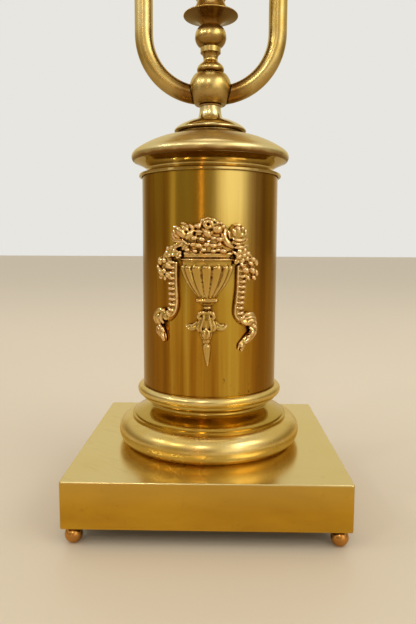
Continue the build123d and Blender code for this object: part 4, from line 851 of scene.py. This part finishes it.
def model_knots(shape):
    """The folded bows at the garlands' ends, and their hanging tails."""
    folds = (
        # left bow
        ((-30.0, 94.2, 0.8, 1.6, 1.6), (-29.8, 97.6, 1.8, 1.9, 2.0), (-32.4, 99.0, 2.0, 2.0, 2.1),
         (-35.4, 97.0, 1.8, 2.0, 2.1), (-36.8, 93.4, 1.8, 2.3, 2.2), (-35.8, 90.0, 1.2, 1.8, 1.6)),
        ((-33.6, 96.0, 2.2, 1.3, 1.5), (-34.2, 92.8, 2.6, 1.6, 1.7), (-33.6, 89.8, 1.8, 1.3, 1.4)),
        ((-29.4, 99.6, 2.0, 0.8, 1.3), (-31.0, 96.4, 3.0, 1.1, 1.5), (-31.4, 93.0, 2.8, 1.2, 1.5),
         (-30.4, 90.4, 1.6, 0.9, 1.1)),
        ((-26.0, 99.0, 2.0, 0.8, 1.3), (-27.8, 96.4, 2.8, 1.0, 1.4), (-28.2, 93.4, 2.2, 1.0, 1.3)),
        ((-23.6, 98.4, 1.8, 0.8, 1.2), (-25.4, 95.6, 2.4, 1.0, 1.3), (-26.2, 93.2, 1.6, 0.8, 1.0)),
        # left tail
        ((-34.4, 90.4, 0.6, 1.8, 1.2), (-33.8, 87.0, 0.6, 3.2, 1.2), (-32.6, 83.4, 0.6, 3.3, 1.2),
         (-31.0, 80.2, 0.6, 2.5, 1.2), (-30.4, 77.8, 0.4, 1.2, 0.8)),
        ((-34.0, 90.0, 1.6, 1.0, 1.3), (-31.4, 87.2, 2.6, 1.3, 1.5), (-29.8, 84.6, 2.0, 1.0, 1.2)),
        ((-31.6, 84.0, 2.0, 1.0, 1.2), (-30.4, 81.6, 2.6, 1.4, 1.4), (-30.2, 78.6, 1.6, 1.0, 1.1)),
        ((-36.2, 87.6, 1.2, 0.9, 1.1), (-35.0, 84.4, 2.0, 1.1, 1.3), (-33.0, 81.2, 1.4, 0.9, 1.1)),
        ((-34.6, 87.0, 1.8, 0.7, 1.0), (-32.8, 84.0, 2.4, 0.9, 1.2), (-32.0, 81.6, 1.8, 0.7, 1.0)),
        # right bow
        ((20.8, 94.8, 1.2, 1.4, 1.6), (22.8, 91.8, 2.4, 1.8, 2.0), (26.2, 91.0, 2.6, 1.7, 1.9),
         (29.0, 92.4, 2.0, 1.3, 1.5)),
        ((22.6, 96.2, 1.4, 0.9, 1.3), (25.4, 97.2, 2.6, 1.4, 1.6), (28.8, 97.0, 2.4, 1.4, 1.5),
         (31.4, 95.2, 1.6, 1.0, 1.2)),
        ((23.4, 94.2, 2.4, 0.7, 1.2), (26.6, 95.0, 3.2, 1.0, 1.4), (29.6, 95.2, 2.8, 1.0, 1.3),
         (32.2, 93.0, 1.8, 0.8, 1.1)),
        ((25.0, 92.4, 2.8, 0.6, 1.0), (28.4, 93.2, 3.2, 0.9, 1.3), (31.4, 91.8, 2.4, 1.0, 1.2),
         (33.0, 89.2, 1.4, 0.8, 1.0)),
        # right tail
        ((27.0, 90.4, 1.2, 1.4, 1.5), (30.2, 89.4, 1.8, 2.6, 1.6), (31.0, 86.4, 1.6, 3.0, 1.5),
         (29.6, 83.2, 1.4, 3.0, 1.4), (26.8, 80.9, 1.4, 2.9, 1.4), (24.4, 78.8, 1.3, 2.5, 1.3),
         (23.2, 76.4, 1.1, 1.8, 1.2), (22.6, 74.2, 0.9, 1.2, 1.0), (22.2, 72.0, 0.5, 0.5, 0.5)),
        ((27.4, 88.0, 1.6, 0.7, 1.1), (29.6, 85.6, 2.9, 1.2, 1.3), (28.2, 82.8, 2.6, 0.9, 1.2)),
        ((31.6, 86.8, 2.2, 0.7, 1.0), (31.4, 84.0, 2.6, 0.8, 1.1), (29.6, 81.6, 1.8, 0.7, 0.9)),
        ((28.0, 82.6, 2.4, 0.8, 1.0), (25.6, 80.4, 3.0, 1.1, 1.2), (23.6, 78.2, 2.2, 0.8, 1.0)),
        ((23.0, 79.8, 1.0, 0.8, 1.0), (20.8, 77.4, 1.2, 0.9, 1.0), (19.8, 73.4, 0.6, 0.4, 0.5)),
    )
    for fold in folds:
        bar(shape, fold)
    # the crumpled cloth between the folds: across, up, out, half width, half height, turn
    crumples = (
        (-30.6, 84.2, 1.8, 0.9, 1.6, 20), (-34.2, 84.4, 1.4, 0.9, 1.7, -20), (-30.4, 79.4, 1.6, 1.1, 1.3, 0),
        (-32.4, 85.6, 2.0, 1.7, 1.1, 30), (-31.4, 81.8, 2.0, 1.5, 1.0, -25),
        (-33.2, 88.8, 2.0, 1.6, 1.0, 10),
        (-34.6, 94.4, 3.0, 1.2, 2.0, -20), (30.6, 88.6, 3.2, 1.7, 1.2, -30), (29.0, 84.6, 3.0, 1.8, 1.2, 35),
        (26.4, 82.4, 2.8, 1.7, 1.1, 20), (24.4, 78.6, 2.6, 1.4, 1.2, 50), (21.8, 76.4, 1.8, 1.3, 1.6, 0),
        (28.6, 92.6, 3.4, 1.8, 1.2, 10), (24.0, 92.6, 2.8, 1.6, 1.3, -40),
    )
    for across, up, out, half_width, half_height, turn in crumples:
        bud(shape, across, up, out, half_width, half_height, 1.3, turn=turn)


def model_bouquet(shape):
    """The flowers, buds and leaves in the urn, and the clusters that hang beside it."""
    # the heaped ground that the flowers stand on
    bud(shape, -1.0, 144.0, 0.0, 19.0, 12.0, 3.2)
    bar(shape, [(-15.0, 136.6, 0.5, 1.4, 2.4), (-1.0, 136.0, 1.8, 1.5, 2.6), (14.5, 136.6, 0.5, 1.4, 2.4)])
    # top flower: a round mouth in a collar of petals
    for across, up, turn in ((-4.6, 155.6, 62), (-3.2, 157.7, 34), (-0.2, 158.6, 0), (3.0, 157.8, -34),
                             (5.2, 155.8, -58)):
        bud(shape, across, up, 3.0, 2.1, 1.25, 2.0, turn=turn)
    mouth, mouth_up, mouth_stations = 2.0, 155.0, 10
    ring = []
    for k in range(mouth_stations + 1):
        angle = 2 * pi * k / mouth_stations
        ring.append((mouth * cos(angle), mouth_up + 0.95 * mouth * sin(angle), 5.2, 1.25, 1.4))
    bud(shape, 0.0, mouth_up, 2.2, 3.2, half_depth=2.2)
    bar(shape, ring, steps=2)
    # buds and blossoms at the top
    bud(shape, -6.0, 153.8, 4.2, 2.5, 1.7, 2.6, turn=-6)
    bud(shape, -5.6, 154.9, 4.0, 1.9, 1.2, 2.2, turn=12)
    petal(shape, (-11.0, 155.4), (-8.2, 151.2), 4.2, 1.35, 2.0)
    petal(shape, (-13.4, 155.2), (-10.6, 152.0), 3.4, 1.1, 1.8)
    bud(shape, 5.1, 151.8, 5.7, 3.1, 2.8, 3.0)
    petal(shape, (2.4, 154.2), (5.6, 155.4), 4.6, 0.9, 1.4)
    bud(shape, 8.5, 153.7, 4.0, 1.6, 1.6, 2.0)
    bud(shape, 7.2, 155.8, 3.0, 1.5, 1.1, 1.8)
    petal(shape, (-2.2, 151.8), (1.2, 146.6), 6.0, 2.3, 2.5)
    petal(shape, (2.2, 151.0), (0.9, 147.2), 5.4, 1.1, 1.8)
    petal(shape, (-8.2, 150.8), (-2.4, 150.2), 4.8, 1.2, 1.8)
    petal(shape, (-7.6, 149.0), (-3.6, 148.6), 4.6, 0.8, 1.4)
    # left flower: long petals that lean together towards its foot
    bud(shape, -16.0, 149.4, 0.8, 6.8, 5.4, 3.2)
    petals = (
        ((-18.6, 154.0), (-13.4, 146.4), 5.4, 2.5, 2.6),
        ((-21.2, 151.8), (-17.2, 146.0), 4.3, 1.7, 2.1),
        ((-22.8, 149.8), (-20.4, 145.2), 3.0, 1.1, 1.5),
        ((-15.8, 154.6), (-11.2, 150.4), 4.4, 1.3, 1.8),
        ((-9.0, 151.4), (-12.6, 145.4), 5.2, 2.1, 2.3),
        ((-19.6, 154.4), (-21.8, 152.4), 2.4, 1.1, 1.4),
        ((-17.2, 156.0), (-13.2, 155.2), 2.6, 1.0, 1.5),
        ((-23.6, 148.0), (-22.8, 144.6), 1.8, 0.9, 1.2),
    )
    for start, end, out, half_width, half_height in petals:
        petal(shape, start, end, out, half_width, half_height)
    leaf(shape, (-15.6, 144.6), (-22.8, 145.2), 3.2, 1.5, 1.3)
    leaf(shape, (-13.8, 144.6), (-20.8, 140.8), 2.6, 1.8, 1.3)
    leaf(shape, (-10.8, 143.2), (-16.4, 139.0), 2.8, 1.8, 1.3)
    petal(shape, (-15.8, 146.0), (-11.6, 141.8), 4.2, 0.9, 1.5)
    # right rose, its open mouth below and the stem beside it
    bud(shape, 18.0, 150.0, 2.2, 5.6, 5.3, 4.9)
    rose_petals = (
        ((14.2, 152.8), (15.6, 147.0), 5.0, 1.5, 1.9),
        ((16.6, 154.4), (17.8, 148.6), 5.9, 1.6, 1.9),
        ((19.4, 154.0), (20.2, 151.4), 5.6, 1.2, 1.6),
        ((22.0, 152.6), (21.8, 147.8), 4.6, 1.2, 1.7),
        ((20.6, 149.6), (17.6, 147.2), 5.8, 1.1, 1.6),
        ((15.4, 155.0), (20.4, 155.0), 3.6, 0.9, 1.4),
    )
    for start, end, out, half_width, half_height in rose_petals:
        petal(shape, start, end, out, half_width, half_height)
    bar(shape, [(13.4, 146.9, 3.4, 0.5, 0.9), (15.4, 145.6, 4.6, 0.9, 1.4), (18.2, 145.0, 5.0, 1.0, 1.5),
                (21.0, 145.6, 4.4, 0.9, 1.4), (23.2, 147.4, 3.0, 0.5, 0.9)])
    bar(shape, [(13.6, 144.0, 2.6, 0.5, 0.9), (18.0, 142.6, 3.4, 0.9, 1.4), (23.4, 144.4, 2.2, 0.5, 0.9)])
    for k in range(6):
        across = 14.6 + 1.4 * k
        petal(shape, (across, 145.4), (across - 0.2, 142.8), 3.6, 0.5, 1.1)
    petal(shape, (22.6, 149.0), (24.2, 144.8), 2.6, 1.1, 1.6)
    bar(shape, [(9.6, 152.4, 3.4, 0.8, 1.2), (9.3, 149.0, 4.4, 1.3, 1.7), (9.7, 145.6, 5.0, 1.6, 1.9),
                (11.3, 142.8, 5.2, 2.1, 2.2), (13.5, 141.0, 4.2, 1.5, 1.7), (15.0, 140.2, 3.0, 0.6, 0.9)])
    petal(shape, (11.8, 151.6), (12.6, 145.6), 3.4, 1.0, 1.6)
    petal(shape, (7.6, 149.8), (8.0, 145.4), 4.4, 0.8, 1.4)
    # the rows of small buds in the middle
    rows = ((146.0, ((-7.9, 1.7), (-3.6, 1.75), (2.9, 1.4), (6.4, 1.8))),
            (142.0, ((-8.6, 1.6), (-5.3, 1.9), (-0.9, 1.7), (3.0, 1.7), (6.3, 1.3))),
            (138.6, ((-12.0, 1.4), (-7.6, 1.3), (-2.6, 1.6), (2.8, 1.4), (5.4, 1.2), (8.6, 1.8))))
    for up, beads in rows:
        for k, (across, size) in enumerate(beads):
            sway = (-1) ** k
            bud(shape, across, up + 0.35 * sway, 5.2, 1.24 * size, 0.98 * size, 1.3 * size, turn=14 * sway)
    petal(shape, (-14.0, 139.4), (-9.4, 137.8), 3.6, 0.9, 1.5)
    petal(shape, (-4.6, 139.4), (-4.3, 136.2), 4.2, 0.85, 1.4)
    petal(shape, (7.4, 140.6), (11.0, 136.4), 4.0, 1.0, 1.5)
    petal(shape, (-6.8, 144.4), (-9.6, 140.8), 4.8, 0.9, 1.4)
    bud(shape, 0.2, 144.4, 5.0, 1.2)
    bud(shape, -11.2, 142.6, 4.0, 1.3)
    # left side: a leafy rosette and the buds that hang from it
    rosette(shape, -24.0, 137.8, 2.4, 4.3, 6, 0.0, turn=10)
    rosette(shape, -18.9, 136.2, 2.6, 2.8, 5, 0.8, turn=40)
    leaf(shape, (-22.6, 141.0), (-17.2, 142.0), 2.6, 1.5, 1.3)
    leaf(shape, (-20.4, 133.4), (-16.6, 136.6), 2.6, 1.4, 1.2)
    bud(shape, -28.6, 128.4, 0.0, 5.2, 9.4, 2.6)
    bud(shape, 27.0, 127.8, 0.0, 5.6, 9.4, 2.6)
    # the clusters' buds: start, end, half width
    clusters = (
        # left
        ((-31.6, 134.4), (-31.2, 128.8), 1.8),
        ((-28.6, 134.2), (-28.2, 129.8), 1.5),
        ((-26.0, 131.4), (-24.8, 126.4), 1.9),
        ((-33.6, 129.4), (-33.0, 125.8), 1.2),
        ((-32.6, 127.6), (-29.2, 121.6), 1.9),
        ((-28.6, 127.2), (-27.6, 123.4), 1.3),
        ((-25.8, 125.2), (-25.0, 120.4), 2.0),
        ((-32.2, 122.6), (-30.2, 119.6), 1.3),
        ((-28.2, 122.0), (-27.6, 118.8), 1.1),
        # right
        ((26.6, 134.2), (30.6, 131.6), 1.7),
        ((29.6, 133.6), (31.6, 128.6), 1.6),
        ((25.2, 131.4), (28.8, 128.8), 1.6),
        ((21.6, 128.2), (24.6, 123.6), 2.5),
        ((26.6, 128.0), (29.2, 123.2), 2.1),
        ((30.4, 126.6), (31.6, 121.8), 1.5),
        ((23.6, 122.8), (25.8, 119.4), 1.5),
        ((28.0, 122.6), (30.4, 119.2), 1.5),
        ((19.6, 130.8), (22.0, 127.8), 1.3),
    )
    for start, end, half_width in clusters:
        petal(shape, start, end, 3.0, half_width, 1.35 * half_width)
    # right side: the ribbon end and the rosette with a round heart
    petal(shape, (15.6, 140.4), (23.4, 140.8), 3.2, 1.4, 1.7)
    leaf(shape, (19.4, 139.6), (25.8, 142.0), 2.4, 1.6, 1.4)
    rosette(shape, 21.8, 135.6, 2.6, 5.2, 6, 1.75, turn=18)
    leaf(shape, (18.4, 133.4), (16.6, 129.6), 2.2, 1.6, 1.3)
    petal(shape, (14.4, 138.4), (18.0, 135.4), 2.8, 1.0, 1.5)


def cast_relief():
    """Rose brass: a painted highlight where the casting stands out, red brown tarnish and painted shade in
    its hollows.
    """
    finish, place = bare_brass("cast_relief")
    across, _, height = finish.split(place)
    edge = finish.step("ShaderNodeNewGeometry").outputs["Pointiness"]
    fleck = finish.noise(place, 700.0, detail=3.0, roughness=0.65)
    cloud = finish.noise(place, 90.0, detail=3.0, roughness=0.6)
    recess = finish.recess(2.2 * MM)
    # painted shade in the hollows and a painted highlight on the proud places, by how sharply the surface
    # bends
    hollow = finish.span(edge, 0.50, 0.44)
    highlight_share = finish.span(edge, 0.505, 0.545)
    urn = finish.product(
        finish.span(finish.math("ABSOLUTE", across), 19 * MM, 17 * MM),
        finish.span(height, urn_top + 1 * MM, urn_top - 1 * MM),
    )
    colour = finish.blend(finish.span(cloud, 0.35, 0.7), brass_golden, brass_ochre)
    colour = finish.blend(finish.product(urn, 0.65), colour, brass_olive)
    highlight_share = finish.product(highlight_share, finish.span(urn, 0.0, 1.0, 1.0, 0.55))
    colour = finish.blend(highlight_share, colour, brass_rose_highlight)
    # red brown: tarnish and painted shade in recesses; soot dark: painted shade in the sharpest hollows
    colour = finish.blend(finish.span(recess, 0.25, 0.75, 0.0, 0.85), colour, brass_russet)
    colour = finish.blend(finish.product(hollow, 0.9), colour, brass_soot_and_shade)
    finish.set("Base Color", colour)
    finish.set("Roughness", finish.span(hollow, 0.0, 1.0, 0.15, 0.5))
    finish.set("Normal", finish.relief(fleck, 0.25, 0.12 * MM))
    return finish.material


def fused(shape):
    """One closed skin over all the parts of the flat ornament."""
    pattern = bpy.data.meshes.new("ornament_pattern")
    shape.to_mesh(pattern)
    shape.free()
    ornament = bpy.data.objects.new("ornament_pattern", pattern)
    bpy.context.scene.collection.objects.link(ornament)
    fuse = ornament.modifiers.new("fuse", "REMESH")
    fuse.mode = "VOXEL"
    fuse.voxel_size = casting_grain
    fuse.use_smooth_shade = True
    tree = bpy.context.evaluated_depsgraph_get()
    skin = bpy.data.meshes.new_from_object(ornament.evaluated_get(tree))
    bpy.data.objects.remove(ornament)
    bpy.data.meshes.remove(pattern)
    return skin


def bend_round(shape):
    """Brings the flat ornament to its size and place on the column's front."""
    for v in shape.verts:
        angle = v.co.x * MM / column_radius
        radius = column_radius + (column_gap - ornament_back - v.co.y) * MM
        v.co = Vector((radius * sin(angle), -radius * cos(angle), plinth_top + v.co.z * MM))


def cast_ornament():
    """The whole ornament in place of the plain one."""
    shape = bmesh.new()
    model_urn(shape)
    model_drop(shape)
    model_garland(shape, left_band, -1)
    model_garland(shape, right_band, 1)
    model_knots(shape)
    model_bouquet(shape)
    bmesh.ops.recalc_face_normals(shape, faces=shape.faces)
    skin = fused(shape)
    shape = bmesh.new()
    shape.from_mesh(skin)
    for _ in range(smoothing_rounds):
        bmesh.ops.smooth_vert(shape, verts=shape.verts, factor=0.5, use_axis_x=True, use_axis_y=True,
                              use_axis_z=True)
    bend_round(shape)
    shape.to_mesh(skin)
    shape.free()
    skin.shade_smooth()
    skin.name = "ornament_casting"
    casting = new_object("ornament_casting", skin, cast_relief())
    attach(casting, "root")
    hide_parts("column_ornament")


cast_ornament()


# ---------------------------------------------------------------- the turned cap, flange and baluster

# Outlines and curves hold a radius, and a height over the piece's foot or the column's top, in mm.
turning_steps = 144
curve_steps = 5
sharp_corner = radians(35)
pipe_bore = 5.2
cap_bore = 40.5
stem_bore = 3.1

lip_outline = [(cap_bore, 0.05), (48.7, 0.05), (48.7, -1.3), (50.0, -1.3), (50.4, -0.9), (50.4, 0.3),
               (50.0, 0.7)]
hollow_curve = [(49.2, 0.9), (46.8, 1.7), (45.3, 2.7), (44.9, 3.6), (45.5, 4.8), (47.2, 6.2), (49.8, 7.6),
                (52.2, 8.7), (54.0, 9.3)]
collar_seat = [(54.0, 9.35), (cap_bore, 9.35)]
crown_curve = [(54.1, 9.4), (55.1, 10.5), (55.65, 12.45), (55.15, 14.4), (53.7, 16.25), (51.2, 18.0),
               (48.2, 19.8), (45.0, 21.5), (41.5, 23.1), (38.0, 24.5), (34.5, 25.65), (31.0, 26.5),
               (28.5, 27.0), (27.0, 27.25), (26.0, 27.4)]
crown_inside = [(pipe_bore, 27.4), (pipe_bore, 24.4), (20.9, 23.6), (cap_bore, 17.5), (cap_bore, 9.4)]
flange_seat = [(pipe_bore, 0.0), (22.4, 0.0), (22.4, 0.8), (23.5, 0.9), (23.8, 1.3), (23.5, 1.7),
               (22.4, 1.8), (22.4, 2.3), (23.2, 2.4)]
cushion_curve = [(23.4, 2.45), (24.6, 2.85), (25.3, 3.5), (25.4, 4.1), (25.0, 4.9), (23.8, 6.0), (21.8, 7.4),
                 (19.0, 8.9), (15.5, 10.4), (12.2, 11.4), (9.8, 11.8)]
neck_curve = [(9.4, 11.85), (8.6, 13.5), (8.0, 15.3), (7.6, 17.7), (7.4, 20.4)]
ring_outline = [(8.0, 20.65), (8.2, 21.2), (8.0, 21.75), (7.4, 22.0), (pipe_bore, 22.0)]
band_outline = [(stem_bore, 0.0), (5.1, 0.0), (5.2, 0.8), (5.7, 1.9), (6.4, 2.7), (6.9, 3.1), (7.1, 3.3),
                (7.1, 6.7), (6.8, 7.0)]
ball_curve = [(7.0, 7.1), (8.7, 8.3), (10.1, 10.2), (10.8, 12.0), (11.0, 13.5), (10.8, 15.5), (10.2, 17.6),
              (9.2, 19.3), (8.0, 20.5), (6.8, 21.2)]
ball_seat = [(6.5, 21.5), (stem_bore, 21.5)]


def turn_piece(node, outline, foot):
    """Turns a closed outline over the height of its foot, in place of the plain solid."""
    piece = bmesh.new()
    corners = [piece.verts.new((radius * MM, 0.0, foot + height * MM)) for radius, height in outline]
    outline_edges = [piece.edges.new(pair) for pair in zip(corners, corners[1:] + corners[:1])]
    bmesh.ops.spin(piece, geom=corners + outline_edges, cent=(0, 0, 0), axis=(0, 0, 1), angle=2 * pi,
                   steps=turning_steps, use_merge=True)
    bmesh.ops.remove_doubles(piece, verts=piece.verts, dist=0.001 * MM)
    bmesh.ops.recalc_face_normals(piece, faces=piece.faces)
    mesh = bpy.data.meshes.new(node + "_turning")
    piece.to_mesh(mesh)
    piece.free()
    mesh.shade_smooth()
    mesh.set_sharp_from_angle(angle=sharp_corner)
    turning = new_object(node + "_turning", mesh, own_finishes[node])
    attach(turning, "root")
    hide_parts(node)


def turned_line(curve):
    """The smooth stretch of an outline."""
    return eased(curve, curve_steps)


# the lip and hollow over the column, the roll and crown above, the stem's foot on the crown,
# then a cove, a band and a full ball right under the disc
turn_piece("cap_collar", lip_outline + turned_line(hollow_curve) + collar_seat, column_top)
turn_piece("cap_dome", turned_line(crown_curve) + crown_inside, column_top)
turn_piece("stem_flange", flange_seat + turned_line(cushion_curve) + turned_line(neck_curve) + ring_outline,
           flange_foot)
turn_piece("baluster", band_outline + turned_line(ball_curve) + ball_seat, knop_top)


# ---------------------------------------------------------------- surroundings

floor_reach = 12.0
room_pale = (0.80, 0.79, 0.75, 1.0)
room_dim = (0.33, 0.265, 0.16, 1.0)
window_glow = (1.45, 1.38, 1.20, 1.0)
window_side = 37
lamp_white = (1.0, 1.0, 1.0)
lamp_amber = (1.0, 0.55, 0.22)
lamp_middle = (0.0, 0.0, 0.2)


def build_stage():
    """A wide pale floor."""
    finish = Finish("floor_paint", roughness=0.55)
    finish.set("Base Color", floor_sand)
    shape = bmesh.new()
    bmesh.ops.create_grid(shape, x_segments=1, y_segments=1, size=floor_reach)
    mesh = bpy.data.meshes.new("studio_floor")
    shape.to_mesh(mesh)
    shape.free()
    new_object("studio_floor", mesh, finish.material)


def around(azimuth, height, distance):
    """A place seen from the lamp: degrees to the right of its front, height and distance in metres."""
    return (distance * sin(radians(azimuth)), -distance * cos(radians(azimuth)), height)


def build_world():
    """A pale room, dim and warm at eye level on one side, so that polished brass has something to show."""
    world = bpy.data.worlds.new("studio")
    world.use_nodes = True
    tree = world.node_tree

    def fade(value, start, end):
        node = tree.nodes.new("ShaderNodeMapRange")
        node.interpolation_type = "SMOOTHSTEP"
        tree.links.new(value, node.inputs["Value"])
        node.inputs["From Min"].default_value = start
        node.inputs["From Max"].default_value = end
        return node.outputs[0]

    def mix(share, first, second):
        node = tree.nodes.new("ShaderNodeMix")
        node.data_type = "RGBA"
        tree.links.new(share, node.inputs[0])
        if isinstance(first, bpy.types.NodeSocket):
            tree.links.new(first, node.inputs[6])
        else:
            node.inputs[6].default_value = first
        node.inputs[7].default_value = second
        return node.outputs[2]

    heading = tree.nodes.new("ShaderNodeTexCoord").outputs["Generated"]
    split = tree.nodes.new("ShaderNodeSeparateXYZ")
    tree.links.new(heading, split.inputs[0])
    front_level = tree.nodes.new("ShaderNodeMath")
    front_level.operation = "MULTIPLY"
    tree.links.new(fade(split.outputs["Y"], 0.90, 0.60), front_level.inputs[0])
    tree.links.new(fade(split.outputs["Z"], 0.50, 0.15), front_level.inputs[1])
    toward = tree.nodes.new("ShaderNodeVectorMath")
    toward.operation = "DOT_PRODUCT"
    tree.links.new(heading, toward.inputs[0])
    toward.inputs[1].default_value = around(window_side, 0.05, 1.0)
    room = mix(front_level.outputs[0], room_pale, room_dim)
    glow = mix(fade(toward.outputs["Value"], 0.84, 0.985), room, window_glow)
    tree.links.new(glow, tree.nodes["Background"].inputs["Color"])
    bpy.context.scene.world = world


def area_lamp(name, place, aim, width, height, power, colour=lamp_white):
    """An oblong lamp that faces its aim. Sizes are in metres, the power in watts."""
    light = bpy.data.lights.new(name, "AREA")
    light.shape = "RECTANGLE"
    light.size = width
    light.size_y = height
    light.energy = power
    light.color = colour
    lamp = bpy.data.objects.new(name, light)
    turn = (Vector(aim) - Vector(place)).to_track_quat("-Z", "Y")
    lamp.matrix_world = Matrix.Translation(place) @ turn.to_matrix().to_4x4()
    bpy.context.scene.collection.objects.link(lamp)


def build_light():
    """Windows on the right, a wall and an amber door gap on the left, a ceiling and three small spots."""
    area_lamp("window", around(40, 1.25, 1.9), lamp_middle, 0.6, 1.0, 2.5)
    area_lamp("window_far", around(70, 0.85, 2.1), lamp_middle, 0.9, 1.7, 0.8)
    area_lamp("left_wall", around(-62, 0.85, 2.1), lamp_middle, 0.4, 1.7, 0.9)
    area_lamp("high_window", around(58, 1.5, 1.7), lamp_middle, 0.9, 0.7, 6.0)
    area_lamp("door_gap", around(-13, 0.6, 1.9), lamp_middle, 0.035, 1.7, 1.2, lamp_amber)
    area_lamp("ceiling", (0.0, 0.2, 2.0), (0.0, 0.0, 0.0), 1.5, 1.3, 9.0)
    for azimuth in (-72, -45, -10):
        area_lamp("spot", around(azimuth, 1.45, 1.8), lamp_middle, 0.055, 0.055, 2.8)


camera_place = (0.007, -0.4136, 0.1813)
camera_turn_right = radians(-1.113)
camera_turn_down = radians(6.449)
camera_roll = radians(0.246)
sensor = 36               # the sensor's longer side, in mm
frame_height = 624
focal_length = 566.1      # in the frame's pixels


def build_camera():
    """The camera before the lamp, a little above the column's middle."""
    view = bpy.data.cameras.new("view")
    view.lens = sensor * focal_length / frame_height
    camera = bpy.data.objects.new("view", view)
    turn = (Matrix.Rotation(-camera_turn_right, 4, "Z")
            @ Matrix.Rotation(radians(90) - camera_turn_down, 4, "X")
            @ Matrix.Rotation(camera_roll, 4, "Z"))
    camera.matrix_world = Matrix.Translation(camera_place) @ turn
    bpy.context.scene.collection.objects.link(camera)
    bpy.context.scene.camera = camera
    bpy.context.scene.view_settings.view_transform = "Standard"


build_stage()
build_world()
build_light()
build_camera()
